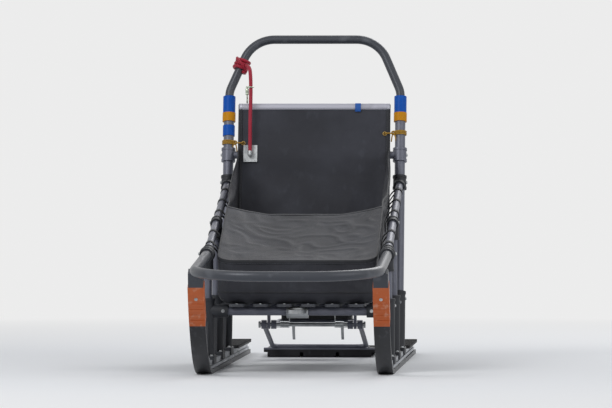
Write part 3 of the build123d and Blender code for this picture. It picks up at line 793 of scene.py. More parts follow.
def coverPoint(j, k):
    y = bag["frontY"] + (bag["mouthY"] - bag["frontY"]) * j / (cover["rows"] - 1)
    radius = bag["cornerRadius"]
    into = max(0.0, bag["frontY"] + radius - y)
    wide = bag["halfWidth"] - radius + math.sqrt(max(0.0, radius ** 2 - into ** 2))
    return wide * (2 * k / (cover["columns"] - 1) - 1), y, hemZ(y)


def makeCover():  # closes the front of the bag, sewn to the walls' hems
    piece = gridPiece("bagCover", makeGrid(cover, coverPoint), "bagCloth", "sheet")
    lastRow, lastColumn = cover["rows"] - 1, cover["columns"] - 1

    def slackAt(j, k):
        fromMouth = cover["mouthSlack"] + (lastRow - j) / cover["mouthRows"]
        return min(1.0, min(j, k, lastColumn - k) / cover["sewnRows"], fromMouth)

    slack = weigh(cover, slackAt)
    relax(piece, cover, weigh(cover, lambda j, k: j == 0 or k in (0, lastColumn)), slack)
    crumple(piece, cover, slack)
    mouth = rowPoints(piece, cover, lastRow)
    return closeSheet(piece), mouth


backPanel = {
    "rows": 76,
    "columns": 60,
    "slack": 0.010,
    "sag": 0.007,
    "creaseDepth": 0.0022,
    "creaseSize": 0.090,
    "bandWidth": 0.019,
    "bandThickness": 0.0046,
    "tabX": 0.127,
    "tabWidth": 0.017,
    "sewnRows": 6,  # the slack fades over so many rows or columns
    "topRows": 9,
    "anchor": (-0.185, 0.604),
    "flatRound": 0.045,  # the panel stays flat this far round the anchor's plate
    "flatBelow": 0.026,  # and this far below its top, under the band
    "calmOver": 0.050,
    "tubeHalf": 0.010,  # how far it may lean back: at the cross tube, beside it and at most
    "tubeRoom": 0.0007,
    "roomSlope": 0.10,
    "mostRoom": 0.0060,
}


def panelPoint(j, k):
    z = bag["floorZ"] + (bag["backTopZ"] - bag["floorZ"]) * j / (backPanel["rows"] - 1)
    return bag["halfWidth"] * (2 * k / (backPanel["columns"] - 1) - 1), panelY(z), z


def makeBackPanel():  # tall rear panel, held to the uprights
    grid = makeGrid(backPanel, panelPoint)
    piece = gridPiece("bagBack", grid, "backCloth", "sheet")
    lastRow, lastColumn = backPanel["rows"] - 1, backPanel["columns"] - 1

    def slackAt(j, k):
        return min(1.0, min(j, k, lastColumn - k) / backPanel["sewnRows"], (lastRow - j) / backPanel["topRows"])

    def calmAt(j, k):
        point, (anchorX, anchorZ) = grid[j][k], backPanel["anchor"]
        fromPlate = math.hypot(point.x - anchorX, point.z - anchorZ) - backPanel["flatRound"]
        fromBand = bag["backTopZ"] - point.z - backPanel["flatBelow"]
        return slackAt(j, k) * min(1.0, max(0.0, min(fromPlate, fromBand)) / backPanel["calmOver"])

    sewn = weigh(backPanel, lambda j, k: j in (0, lastRow) or k in (0, lastColumn))
    relax(piece, backPanel, sewn, weigh(backPanel, slackAt))
    crumple(piece, backPanel, weigh(backPanel, calmAt))
    for vertex in piece.data.vertices:  # it leans back against the cross tube
        off = max(0.0, abs(vertex.co.z - sled["crossZ"]) - backPanel["tubeHalf"])
        room = min(backPanel["mostRoom"], backPanel["tubeRoom"] + off * backPanel["roomSlope"])
        vertex.co.y = min(vertex.co.y, panelY(vertex.co.z) + room)
    top = rowPoints(piece, backPanel, lastRow)
    return closeSheet(piece), top


bagWalls, hemLine, footLine = makeWalls()
print("bag walls hung")
bagFloor = closeSheet(gridPiece("bagFloor", makeGrid(floorSheet, floorPoint), "liningCloth", "sheet"), 0)
bagCover, mouthLine = makeCover()
print("cover laid")
bagBack, backTopLine = makeBackPanel()
print("back panel hung")
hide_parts("bag_side_left", "bag_side_right", "bag_nose")
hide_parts("bag_floor")
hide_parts("bag_cover")
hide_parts("bag_back")

# Bindings, band, tab and piping that finish the bag's edges
trim = {
    "bindingWidth": 0.013,
    "bindingThickness": 0.0042,
    "bindingSink": 0.35,  # a share of the width, as the next is
    "seamAside": 0.30,
    "edgeFoot": 0.004,
    "edgeHead": 0.006,
    "edgePoints": 60,
    "bandSink": 0.0012,
    "pipingRadius": 0.0024,
    "tabThickness": 0.0012,
    "tabOutline": [(-0.024, 0.0032), (-0.012, 0.0032), (-0.002, 0.0032), (0.0006, 0.0024), (0.0016, 0.0),
                   (0.0006, -0.0024), (-0.002, -0.0032), (-0.012, -0.0032), (-0.024, -0.0032)],
}
stitchLines = []  # each is a row of points that the stitches follow
stitchLift = 0.0002


def offsetLine(points, across, out, wide):  # a line beside a ribbon: along its width and off its face
    line = []
    for centre, tangent, _, _ in pathFrames(points):
        flat = squareTo(wide, tangent)
        line.append(centre + flat * across + tangent.cross(flat) * out)
    return line


def addBinding(name, points, wide, finish="webbing", width=trim["bindingWidth"],
               thickness=trim["bindingThickness"], sink=trim["bindingWidth"] * trim["bindingSink"]):
    centre = offsetLine(points, -sink, 0.0, wide)
    for side in (-1, 1):
        off = side * (thickness / 2 + stitchLift)
        stitchLines.append(offsetLine(centre, -width * trim["seamAside"], off, wide))
    return addJoined(name, [ribbonParts(centre, wide, width, thickness)], finish)


def makeEdgeBinding(side):  # on one of the panel's upright edges
    low, run = bag["floorZ"] + trim["edgeFoot"], bag["backTopZ"] - trim["edgeHead"] - bag["floorZ"]
    heights = [low + run * k / (trim["edgePoints"] - 1) for k in range(trim["edgePoints"])]
    line = [Vector((side * bag["halfWidth"], panelY(z), z)) for z in heights]
    return addBinding("panelBinding_" + ("left" if side > 0 else "right"), line, Vector((side, 0, 0)))


hemBinding = addBinding("hemBinding", hemLine, upward)
mouthBinding = addBinding("mouthBinding", mouthLine, Vector((0, 1, 0.33)))
panelBindings = [makeEdgeBinding(side) for side in (-1, 1)]
reflectiveBand = addBinding(
    "reflectiveBand", backTopLine, upPanel, "reflectiveTape", backPanel["bandWidth"],
    backPanel["bandThickness"], backPanel["bandWidth"] * 0.5 - trim["bandSink"])


def makeTab():  # small blue tab sewn over the panel's top edge
    top = bag["backTopZ"]
    centre = Vector((backPanel["tabX"], panelY(top), top))
    points = [centre + upPanel * a + offPanel * b for a, b in trim["tabOutline"]]
    parts = ribbonParts(points, Vector((1, 0, 0)), backPanel["tabWidth"], trim["tabThickness"])
    return addJoined("panelTab", [parts], "blueWebbing")


def makePiping():  # rolled seam round the foot of the walls
    for point in footLine:
        keepWithin(point, bag["widest"] - 0.001)
    return addJoined("footPiping", [tubeParts(footLine, trim["pipingRadius"])], "webbing")


panelTab = makeTab()
footPiping = makePiping()


def railLoopLine(centre, out, lift, inner, outer):  # up inside the rail, round it and down outside
    drop = railLoop["tailDrop"]
    reach = sled["railRadius"] + railLoop["thickness"] / 2 + railLoop["gap"]
    tails = []
    for distance, shares in ((inner, railLoop["innerTail"]), (outer, railLoop["outerTail"])):
        tails.append([centre + out * (distance * a) - lift * (drop * b) for a, b in shares])
    return tails[0] + arcPoints(centre, out, lift, reach, 150, -150, 15) + tails[1]


def makeRailLoops():
    slope = Vector((0, 1, sled["railRise"])).normalized()
    lift = Vector((0, -slope.z, slope.y))
    thick, drop, half = railLoop["thickness"], railLoop["tailDrop"], railLoop["width"] * railLoop["boxHalf"]
    low, high = -drop * railLoop["boxLow"], -drop * railLoop["boxHigh"]
    box = [(-half, low), (half, low), (half, high), (-half, high), (-half, low), (half, high)]
    inner, outer = -railLoop["tailX"], -railLoop["tailX"] + thick + stitchLift
    face = outer + thick / 2 + stitchLift
    parts = []
    for side in (-1, 1):
        out = Vector((side, 0, 0))
        for y in railLoop["places"]:
            centre = railPoint(side, y)
            line = catmull(railLoopLine(centre, out, lift, inner, outer), 3)
            parts.append(ribbonParts(line, slope, railLoop["width"], thick))
            stitchLines.append([centre + out * face + slope * a + lift * b for a, b in box])
    return addJoined("railLoops", parts, "webbing")


railLoops = makeRailLoops()

# Ochre ties that hold the back panel to the uprights
panelTie = {
    "radius": 0.0021,
    "turns": 2.5,
    "steps": 12,
    "from": math.radians(150),
    "rise": 2.1,  # of one turn, in radii
    "gap": 0.0003,
    "heights": {1: 0.662, -1: 0.634},
    "grommetX": 0.206,
    "lead": [(0.0, -0.006), (0.0, -0.002), (0.0004, 0.0022), (0.0028, 0.0050), (0.0070, 0.0066), (0.0150, 0.0068),
             (0.0205, 0.0036)],  # out of the eyelet and round the panel's bound edge
    "knotRadius": 0.0048,
    "knotDepth": 0.0028,
    "knotOff": (0.0015, 0.010),
    "knotPoints": 49,
    "knotThinning": 0.9,
    "tails": [(-0.004, -0.0064), (0.005, 0.008)],  # how far each drifts, half way and at its end
    "grommetLift": 0.0016,
}


def tieKnot(centre, out):
    line, last = [], panelTie["knotPoints"] - 1
    radius, depth = panelTie["knotRadius"], panelTie["knotDepth"]
    for k in range(last + 1):
        turn = 4 * math.pi * k / last
        line.append(centre + out * (radius * math.cos(turn) * (1 + 0.2 * math.cos(turn * 1.5)))
                    + upPanel * (radius * math.sin(turn)) + offPanel * (depth * math.sin(turn * 1.5)))
    return line


def makeTies():
    parts, holes = [], []
    radius, thin = panelTie["radius"], panelTie["radius"] * panelTie["knotThinning"]
    reach = sled["uprightRadius"] + radius + panelTie["gap"]
    pitch = upPanel * (panelTie["rise"] * radius)
    for side, z in panelTie["heights"].items():
        out = Vector((side, 0, 0))
        centre = Vector((side * sled["sideX"], leanY(z), z))
        hole = Vector((side * panelTie["grommetX"], panelY(z), z))
        line = [hole + out * aside + offPanel * ahead for aside, ahead in panelTie["lead"]]
        line += helixPoints(
            centre - pitch, out, offPanel, reach, panelTie["from"], -panelTie["turns"], panelTie["steps"], pitch)
        parts.append(tubeParts(catmull(line, 4), radius))
        inward, forward = panelTie["knotOff"]
        knotAt = centre - out * (reach + inward) + offPanel * forward
        parts.append(tubeParts(tieKnot(knotAt, out), thin))
        for drift, further in panelTie["tails"]:
            middle, end = Vector((side * drift, -0.004, -0.010)), Vector((side * further, -0.003, -0.026))
            parts.append(tubeParts(catmull([knotAt, knotAt + middle, knotAt + end], 6), thin))
        holes.append(hole + offPanel * panelTie["grommetLift"])
    return addJoined("panelTies", parts, "ochreCord"), holes


panelTies, tieHoles = makeTies()
print("bag trimmed:", len(stitchLines), "stitch lines")

# Geometry Nodes trees for what repeats. Each dictionary names its tree's inputs and their values.
stitch = {"Stitch Pitch": 0.0046, "Stitch Length": 0.0036, "Thread Radius": 0.00042}
boltHead = {"Head Radius": 0.0055, "Head Height": 0.0045, "Washer Radius": 0.0078, "Washer Height": 0.0012}
rivetHead = {"Dome Radius": 0.0042, "Dome Height": 0.0018}
ribBar = {"Rib Length": 0.304, "Rib Width": 0.0150, "Rib Height": 0.0020}


def startTree(name, labels):
    tree = bpy.data.node_groups.new(name, "GeometryNodeTree")
    for label, kind in {"Geometry": "Geometry", **dict.fromkeys(labels, "Float"), "Material": "Material"}.items():
        tree.interface.new_socket(label, in_out="INPUT", socket_type="NodeSocket" + kind)
    tree.interface.new_socket("Geometry", in_out="OUTPUT", socket_type="NodeSocketGeometry")
    return tree, tree.nodes.new("NodeGroupInput").outputs


def endTree(tree, start, geometry):  # real faces with the material set, because instances don't export
    real = nodeOut(tree, "GeometryNodeRealizeInstances", {"Geometry": geometry})
    painted = nodeOut(tree, "GeometryNodeSetMaterial", {"Geometry": real, "Material": start["Material"]})
    tree.links.new(painted, tree.nodes.new("NodeGroupOutput").inputs[0])
    return tree


def vectorOf(tree, x, y, z):
    return nodeOut(tree, "ShaderNodeCombineXYZ", {"X": x, "Y": y, "Z": z})


def lifted(tree, geometry, height):
    return nodeOut(tree, "GeometryNodeTransform", {
        "Geometry": geometry, "Translation": vectorOf(tree, 0.0, 0.0, height)})


def placed(tree, start, shape):  # one shape on each point, turned to its facing and scaled to its size
    named = "GeometryNodeInputNamedAttribute"
    facing = nodeOut(tree, named, {"Name": "facing"}, data_type="FLOAT_VECTOR")
    size = nodeOut(tree, named, {"Name": "size"}, data_type="FLOAT")
    turn = nodeOut(tree, "FunctionNodeAlignRotationToVector", {"Vector": facing}, axis="Z")
    return endTree(tree, start, nodeOut(tree, "GeometryNodeInstanceOnPoints", {
        "Points": start["Geometry"], "Instance": shape, "Rotation": turn, "Scale": size}))


def makeBoltTree():  # washer and a six-sided head with a chamfer
    tree, start = startTree("boltHeads", boltHead)
    washer = nodeOut(tree, "GeometryNodeMeshCylinder", {
        "Vertices": 22, "Radius": start["Washer Radius"], "Depth": start["Washer Height"]})
    sunk = times(tree, start["Washer Height"], 0.5)
    tall = plus(tree, start["Head Height"], sunk)
    half = times(tree, tall, 0.5)
    head = nodeOut(tree, "GeometryNodeMeshCylinder", {
        "Vertices": 6, "Side Segments": 2, "Radius": start["Head Radius"], "Depth": tall})
    place = addNode(tree, "ShaderNodeSeparateXYZ", {0: nodeOut(tree, "GeometryNodeInputPosition", {})}).outputs
    level = maths(tree, "DIVIDE", place["Z"], half)  # -1, 0 and 1 from the foot up
    inward = times(tree, maths(tree, "MAXIMUM", level, 0.0), -0.20)
    middle = maths(tree, "SUBTRACT", 1.0, maths(tree, "ABSOLUTE", level))
    rise = maths(tree, "SUBTRACT", half, times(tree, start["Head Height"], 0.22))
    aside, along = [times(tree, place[axis], inward) for axis in "XY"]
    offset = vectorOf(tree, aside, along, times(tree, middle, rise))
    head = nodeOut(tree, "GeometryNodeSetPosition", {"Geometry": head, "Offset": offset})
    joined = tree.nodes.new("GeometryNodeJoinGeometry")
    for part in (lifted(tree, washer, sunk), lifted(tree, head, plus(tree, sunk, half))):
        tree.links.new(part, joined.inputs[0])
    return placed(tree, start, joined.outputs[0])


def makeRivetTree():  # low dome
    tree, start = startTree("rivetHeads", rivetHead)
    ball = nodeOut(tree, "GeometryNodeMeshUVSphere", {"Segments": 14, "Rings": 8, "Radius": 1.0})
    scale = vectorOf(tree, start["Dome Radius"], start["Dome Radius"], start["Dome Height"])
    dome = nodeOut(tree, "GeometryNodeTransform", {"Geometry": ball, "Scale": scale})
    return placed(tree, start, nodeOut(tree, "GeometryNodeSetShadeSmooth", {"Geometry": dome}))


def makeRibTree():  # low rounded bar, its lower half in the rubber
    tree, start = startTree("rubberRibs", ribBar)
    rod = nodeOut(tree, "GeometryNodeMeshCylinder", {"Vertices": 20, "Radius": 1.0, "Depth": start["Rib Length"]})
    scale = vectorOf(tree, start["Rib Height"], times(tree, start["Rib Width"], 0.5), 1.0)
    return placed(tree, start, nodeOut(tree, "GeometryNodeTransform", {
        "Geometry": rod, "Scale": scale, "Rotation": (0.0, math.pi / 2, 0.0)}))


def makeStitchTree():  # short thread beads along each line
    tree, start = startTree("stitchRows", stitch)
    curve = nodeOut(tree, "GeometryNodeMeshToCurve", {"Mesh": start["Geometry"]})
    even = nodeOut(tree, "GeometryNodeResampleCurve", {
        "Curve": curve, "Length": start["Stitch Pitch"]}, mode="LENGTH")
    along = nodeOut(tree, "GeometryNodeInputTangent", {})
    turn = nodeOut(tree, "FunctionNodeAlignRotationToVector", {"Vector": along}, axis="Z")
    ball = nodeOut(tree, "GeometryNodeMeshIcoSphere", {"Radius": 1.0, "Subdivisions": 1})
    thread = start["Thread Radius"]
    scale = vectorOf(tree, thread, thread, times(tree, start["Stitch Length"], 0.5))
    bead = nodeOut(tree, "GeometryNodeTransform", {"Geometry": ball, "Scale": scale})
    return endTree(tree, start, nodeOut(tree, "GeometryNodeInstanceOnPoints", {
        "Points": even, "Instance": bead, "Rotation": turn}))


def runTree(name, tree, values, mesh, finish, slot, body="sled"):
    piece = addObject(name, mesh)
    modifier = piece.modifiers.new("made", "NODES")
    modifier.node_group = tree
    given = {**values, "Material": materials[finish]}
    for socket in tree.interface.items_tree:
        if socket.name in given:
            modifier[socket.identifier] = given[socket.name]
    applyModifiers(piece)
    return finishPiece(piece, body)


def runSpots(name, tree, values, spots, *finish):  # spots are (place, facing, size)
    mesh = bpy.data.meshes.new(name)
    mesh.from_pydata([place for place, _, _ in spots], [], [])
    mesh.attributes.new("facing", "FLOAT_VECTOR", "POINT")
    mesh.attributes.new("size", "FLOAT", "POINT")
    for index, (_, facing, size) in enumerate(spots):
        mesh.attributes["facing"].data[index].vector = facing
        mesh.attributes["size"].data[index].value = size
    return runTree(name, tree, values, mesh, *finish)


def makeStitches():
    verts, edges = [], []
    for line in stitchLines:
        edges += [(len(verts) + k, len(verts) + k + 1) for k in range(len(line) - 1)]
        verts += line
    mesh = bpy.data.meshes.new("bagStitches")
    mesh.from_pydata([tuple(v) for v in verts], edges, [])
    return runTree("bagStitches", makeStitchTree(), stitch, mesh, "thread", "bag_panel")


bagStitches = makeStitches()

bolts = {  # where they are: Face is how far a bolt's seat is from the middle of its tube or casting
    "footRows": 0.040,
    "footAside": 0.0135,
    "flangeTop": 0.046,
    "columnZ": 0.185,
    "columnFace": 0.0199,
    "socketX": 0.206,
    "socketFace": 0.0178,
    "midFace": 0.0151,
    "frontFace": 0.0218,
    "uprightFace": 0.0188,
    "railEndZ": 0.520,
    "lugZ": 0.7095,
    "lugBehind": 0.0235,
    "lugFace": 0.0088,
    "tipTurn": math.radians(60.5),
}
boltSizes = {"flange": 0.72, "casting": 0.62, "joint": 0.70, "lug": 0.55, "mat": 0.58}  # 1 is a 10 mm head


def footBolts(side, y, lean):  # on one casting: flange, column and bar socket
    spots = []
    x = side * sled["sideX"]
    for along in (-bolts["footRows"], bolts["footRows"]):
        for aside in (-bolts["footAside"], bolts["footAside"]):
            spots.append(((x + aside, y + along, bolts["flangeTop"]), upward, boltSizes["flange"]))
    columnY = y + (bolts["columnZ"] - sled["runnerTop"]) * math.tan(lean)
    spots.append(((x + side * bolts["columnFace"], columnY, bolts["columnZ"]), (side, 0, 0), boltSizes["casting"]))
    socketY = y + (sled["barZ"] - sled["runnerTop"]) * math.tan(lean) - bolts["socketFace"]
    spots.append(((side * bolts["socketX"], socketY, sled["barZ"]), (0, -1, 0), boltSizes["casting"]))
    return spots


def boltSpots():
    spots = []
    for side in (-1, 1):
        for y, lean in ((sled["frontY"], 0.0), (sled["midY"], 0.0), (sled["rearY"], sled["lean"])):
            spots += footBolts(side, y, lean)
        x = side * sled["sideX"]
        for face, y, z in (
                (bolts["midFace"], sled["midY"], railPoint(side, sled["midY"]).z),
                (bolts["frontFace"], sled["frontY"], sled["railFrontZ"]),
                (bolts["uprightFace"], leanY(bolts["railEndZ"]), bolts["railEndZ"]),
                (bolts["uprightFace"], leanY(sled["crossZ"]), sled["crossZ"])):
            spots.append(((x + side * face, y, z), (side, 0, 0), boltSizes["joint"]))
        lug = Vector((x, leanY(bolts["lugZ"]), bolts["lugZ"])) - offPanel * bolts["lugBehind"]
        for face in (-1, 1):
            spots.append(((lug.x + face * bolts["lugFace"], lug.y, lug.z), (face, 0, 0), boltSizes["lug"]))
        down, ahead = math.cos(bolts["tipTurn"]), math.sin(bolts["tipTurn"])  # on the front of the tip sleeve
        tip = (x, sled["bendY"] - sled["bendRadius"] * ahead, sled["bendRadius"] * (1 - down))
        spots.append((tip, (0, -ahead, -down), boltSizes["casting"]))
    return spots


matBolt = {"y": 0.7882, "z": 0.0285, "places": (-0.145, -0.087, -0.029, 0.029, 0.087, 0.145)}
matSpots = [((x, matBolt["y"], matBolt["z"]), upward, boltSizes["mat"]) for x in matBolt["places"]]
boltTree = makeBoltTree()
frameBolts = runSpots("frameBolts", boltTree, boltHead, boltSpots(), "boltSteel", "steel")
matBolts = runSpots("matBolts", boltTree, boltHead, matSpots, "boltSteel", "steel", "drag_mat")

# Bars moulded across the drag mat's upper side
matRib = {"firstY": 0.8120, "pitch": 0.0320, "count": 10, "top": 0.0235}
ribPlaces = [(0.0, matRib["firstY"] + k * matRib["pitch"], matRib["top"]) for k in range(matRib["count"])]
ribSpots = [(place, upward, 1.0) for place in ribPlaces]
matRibs = runSpots("matRibs", makeRibTree(), ribBar, ribSpots, "matRubber", "mat_rubber", "drag_mat")

rivets = {
    "firstX": -0.165,
    "pitch": 0.066,
    "slatEnds": (-0.5115, 0.3440),
    "plateZ": 0.604,
    "plateAside": 0.0145,
    "plateUp": 0.0185,
    "plateFace": 0.0188,
    "plateSize": 0.55,
}


def makeRivets():  # slats to the bed's ends, and the anchor plate to the panel
    spots = []
    for k in range(6):
        for y in rivets["slatEnds"]:
            spots.append(((rivets["firstX"] + rivets["pitch"] * k, y, sled["slatTopZ"]), upward, 1.0))
    low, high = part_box("line_anchor")
    for aside in (-rivets["plateAside"], rivets["plateAside"]):
        for up in (-rivets["plateUp"], rivets["plateUp"]):
            z = rivets["plateZ"] + up
            x = (low[0] + high[0]) / 2 + aside
            spots.append(((x, leanY(z) - rivets["plateFace"], z), offPanel, rivets["plateSize"]))
    return runSpots("smallRivets", makeRivetTree(), rivetHead, spots, "boltSteel", "steel")


smallRivets = makeRivets()

grommet = {"radius": 0.0052, "thickness": 0.0014, "count": 24, "sides": 8}


def makeGrommets():  # brass eyelets for the ties
    side = offPanel.orthogonal().normalized()
    parts = [ringParts(centre, side, offPanel.cross(side), *grommet.values()) for centre in tieHoles]
    return addJoined("tieGrommets", parts, "brass")


tieGrommets = makeGrommets()

# Knot round the bow's leg
lineKnot = {
    "centre": Vector((-0.21616, 0.5213, 0.862)),
    "leg": Vector((0.3907, 0.2382, 0.8891)),
    "turns": 3.4,
    "steps": 20,
    "from": math.radians(40),
    "reach": 0.0181,
    "pitch": 0.0105,
    "radius": 0.0052,
    "overFrom": -62,
    "overSwing": 124,
    "overSteps": 12,
    "overReach": 0.0225,
    "overBulge": 0.0022,
    "overRise": 0.0130,
    "overRadius": 0.0044,
    "endAngle": 1.5,
    "endReach": 0.0178,
    "endRise": 0.0140,
}


def makeKnot():
    leg, centre, turns = lineKnot["leg"], lineKnot["centre"], lineKnot["turns"]
    out = squareTo(Vector((0, -1, 0)), leg)
    side = leg.cross(out)

    def place(angle, reach):
        return centre + spoke(out, side, angle) * reach

    pitch = leg * lineKnot["pitch"]
    foot = centre - pitch * (turns / 2)
    line = helixPoints(foot, out, side, lineKnot["reach"], lineKnot["from"], turns, lineKnot["steps"], pitch)
    end, last, rise = lineKnot["endAngle"], lineKnot["overSteps"], lineKnot["overRise"]
    over = [place(-end, lineKnot["endReach"]) + leg * lineKnot["endRise"]]
    for k in range(last + 1):  # the turn that crosses over the others and locks them
        angle = math.radians(lineKnot["overFrom"] + lineKnot["overSwing"] * k / last)
        reach = lineKnot["overReach"] + lineKnot["overBulge"] * math.sin(math.pi * k / last)
        over.append(place(angle, reach) + leg * (rise - 2 * rise * k / last))
    over.append(place(end, lineKnot["endReach"]) - leg * lineKnot["endRise"])
    start, ahead = [Vector(point) for point in redLine["route"][:2]]
    heading = (ahead - start).normalized()
    lead = [start - heading * 0.024 - side * 0.004, start - heading * 0.012, start, start + heading * 0.004]
    parts = [tubeParts(catmull(line, 2), lineKnot["radius"], 16, braid),
             tubeParts(catmull(over, 4), lineKnot["overRadius"], 16, braid),
             tubeParts(catmull(lead, 6), redLine["radius"], 16, braid)]
    piece = addJoined("lineKnotTurns", parts, "redBraid")
    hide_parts("line_knot")
    return piece


lineKnotTurns = makeKnot()

# Snap that hangs on the line: its eye, swivel body, hook and thumb knob
snap = {
    "eyeZ": 0.798,
    "eyeRadius": 0.0082,
    "eyeThickness": 0.0018,
    "neckAside": 0.0110,
    "body": [(-0.0030, 0.0), (-0.0026, 0.0018), (-0.0010, 0.0032), (0.0012, 0.0034), (0.0030, 0.0024),
             (0.0040, 0.0022), (0.0050, 0.0042), (0.0062, 0.0047), (0.0175, 0.0047), (0.0186, 0.0041),
             (0.0196, 0.0047), (0.0218, 0.0047), (0.0232, 0.0034), (0.0236, 0.0)],
    "footDrop": 0.0225,
    "bowlDrop": 0.0165,
    "bowlRadius": 0.0068,
    "hookRadius": 0.0020,
    "knob": [(0.0, 0.0014), (0.0014, 0.0014), (0.0016, 0.0023), (0.0026, 0.0023), (0.0030, 0.0)],
    "knobDrop": 0.0120,
    "knobAhead": 0.0046,
}


def makeSnap():
    upper, lower = [Vector(point) for point in redLine["route"][2:4]]
    down = (lower - upper).normalized()
    eye = min(linePoints, key=lambda point: abs(point.z - snap["eyeZ"]))
    left, back = Vector((-1, 0, 0)), Vector((0, 1, 0))
    neck = eye + left * snap["neckAside"]
    foot = neck + down * snap["footDrop"]
    hook = [foot, foot + down * 0.0050 + back * 0.0006]
    hook += arcPoints(foot + down * snap["bowlDrop"], back, down, snap["bowlRadius"], -60, 215, 14)
    knobAt = neck + down * snap["knobDrop"] - back * snap["knobAhead"]
    parts = [ringParts(eye, left, back, snap["eyeRadius"], snap["eyeThickness"], 28, 10),
             latheParts(neck, down, snap["body"]),
             tubeParts(catmull(hook, 3), snap["hookRadius"], 12),
             latheParts(knobAt, -back, snap["knob"], 14)]
    piece = addJoined("snapHook", parts, "snapMetal")
    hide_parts("line_snap")
    return piece


snapHook = makeSnap()

# Springs that lift the claw brake
spring = {
    "wire": 0.0011,
    "wireSides": 7,
    "coil": 0.0086,
    "steps": 16,
    "turns": 9.75,
    "pitch": 0.0026,
    "from": 0.066,
    "barBehind": 0.0128,
    "barBelow": 0.006,
    "legLength": 0.0555,
    "bend": 0.005,
    "tubeX": 0.111,
    "hook": 0.0094,
}


def springCoil(side, pin):
    coil, back = spring["coil"], Vector((0, 1, 0))
    bar = Vector((side * spring["from"], pin.y + spring["barBehind"], sled["barZ"] - spring["barBelow"]))
    line = [bar + Vector((0, 0.0012, 0.010)), bar, Vector((bar.x, pin.y + coil, pin.z + 0.016))]
    first, pitch = pin + Vector((side * spring["from"], 0, 0)), Vector((side * spring["pitch"], 0, 0))
    line += helixPoints(first, back, upward, coil, 0.0, -spring["turns"], spring["steps"], pitch)
    return tubeParts(catmull(line, 2), spring["wire"], spring["wireSides"])


def springLeg(side, pin):  # from the coil's end to a hook round the brake's tube
    out, back, coil, bend = Vector((side, 0, 0)), Vector((0, 1, 0)), spring["coil"], spring["bend"]
    endX = side * (spring["from"] + spring["pitch"] * spring["turns"])
    low = Vector((endX, pin.y, pin.z - coil))
    far = low + Vector((side * 0.001, spring["legLength"] - bend, coil - spring["hook"]))
    line = [low + Vector((0, -0.003, 0.0008)), low, low.lerp(far, 0.1), low.lerp(far, 0.5)]
    line += arcPoints(far + out * bend, -out, back, bend, 0, 90, 6)
    tube = Vector((side * spring["tubeX"], far.y + bend, pin.z))
    line += arcPoints(tube, out, upward, spring["hook"], -90, -10, 6)
    return tubeParts(catmull(line, 4), spring["wire"], spring["wireSides"])


pinCentre = Vector((0, sled["hingeY"], sled["hingeZ"]))
brakeSprings = addJoined("brakeSprings", [springCoil(side, pinCentre) for side in (-1, 1)], "boltSteel")
springLegs = addJoined("springLegs", [springLeg(side, pinCentre) for side in (-1, 1)], "boltSteel", "brake")
print("small parts made")

# Stage: a pale floor that fades into a pale surround, so that no edge or horizon shows
stage = {"floor": "#f4f5f7", "surround": 0.84, "fadeFrom": 1.5, "fadeTo": 5.0, "size": 60.0, "worldLight": 0.42}
stage["surroundColour"] = (*[stage["surround"]] * 3, 1.0)
stage["skyColour"] = (0.93, 0.96, 1.0, 1.0)
lamps = {  # place, energy, size
    "keyLamp": ((-2.6, -3.6, 3.6), 88.0, 2.4),
    "fillLamp": ((3.4, -2.4, 2.2), 30.0, 3.0),
    "backLamp": ((1.2, 3.6, 3.4), 56.0, 2.2),
}


def seenRays(tree):  # 1 where the camera looks, also by way of gloss or glass, and 0 for the light on the object
    rays = addNode(tree, "ShaderNodeLightPath", {}).outputs
    seen = maths(tree, "MAXIMUM", rays["Is Camera Ray"], rays["Is Glossy Ray"])
    return maths(tree, "MAXIMUM", seen, rays["Is Transmission Ray"])


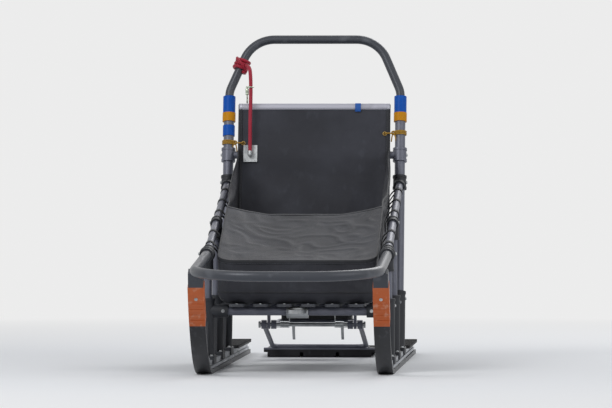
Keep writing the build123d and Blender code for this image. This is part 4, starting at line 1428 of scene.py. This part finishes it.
def makeFloor():
    tree, matt = startMaterial("floorPale", stage["floor"], 0.9)
    glow = nodeOut(tree, "ShaderNodeEmission", {"Color": stage["surroundColour"], "Strength": 1.0})
    away = addNode(tree, "ShaderNodeVectorMath", {0: coordsOf(tree, "Object")}, operation="LENGTH").outputs["Value"]
    fade = times(tree, ramp(tree, away, stage["fadeFrom"], stage["fadeTo"]), seenRays(tree))
    mixed = nodeOut(tree, "ShaderNodeMixShader", {0: fade, 1: matt.outputs[0], 2: glow})
    tree.links.new(mixed, tree.nodes["Material Output"].inputs[0])
    half = stage["size"] / 2
    corners = [(-half, -half, 0.0), (half, -half, 0.0), (half, half, 0.0), (-half, half, 0.0)]
    addPiece("floorStage", (corners, [(0, 1, 2, 3)], None), materials["floorPale"], smooth=False)


def makeWorld():
    scene.world = bpy.data.worlds.new("paleRoom")
    scene.world.use_nodes = True
    tree = scene.world.node_tree
    lit = tree.nodes["Background"]
    lit.inputs[0].default_value = stage["skyColour"]
    lit.inputs[1].default_value = stage["worldLight"]
    shown = nodeOut(tree, "ShaderNodeBackground", {0: stage["surroundColour"], 1: 1.0})
    mixed = nodeOut(tree, "ShaderNodeMixShader", {0: seenRays(tree), 1: lit.outputs[0], 2: shown})
    tree.links.new(mixed, tree.nodes["World Output"].inputs[0])


def makeLamps():
    for name, (place, energy, size) in lamps.items():
        data = bpy.data.lights.new(name, "AREA")
        data.energy = energy
        data.size = size
        aimAt(addObject(name, data), place, (0.0, 0.0, 0.4))


makeFloor()
makeWorld()
makeLamps()
scene.view_settings.view_transform = "Standard"
print("stage and lamps set")

# Finishes of the rigid nodes
nodeFinish = {
    "railMetal": ["runner"],
    "shoePlastic": ["shoe"],
    "tipPlastic": ["tip_sleeve"],
    "bowPaint": ["brush_bow", "driving_bow"],
    "castPlastic": ["foot_front", "foot_mid", "foot_rear", "rail_joint_front", "rail_joint_mid", "rail_joint_rear"],
    "framePaint": ["crossbar_front", "crossbar_mid", "crossbar_rear", "cross_tube", "stanchion_front",
                   "stanchion_mid", "upright", "side_rail", "brake_frame", "mat_frame"],
    "collarPlastic": ["bow_collar", "tape_wrap"],
    "ringPlastic": ["clamp_ring"],
    "slatPlastic": ["bed_slats"],
    "padRubber": ["foot_pad", "brake_pedal"],
    "steel": ["tow_plate", "hinge_pin", "line_anchor", "brake_claws"],
    "matRubber": ["drag_mat"],
}


def dressNodes():
    dressed = 0
    for finish, names in nodeFinish.items():
        for node in [name + end for name in names for end in ("", "_left", "_right")]:
            if node in nodes:
                nodes[node].data.materials.clear()
                nodes[node].data.materials.append(materials[finish])
                dressed += 1
    print("nodes dressed:", dressed, "of", len(nodes))


dressNodes()
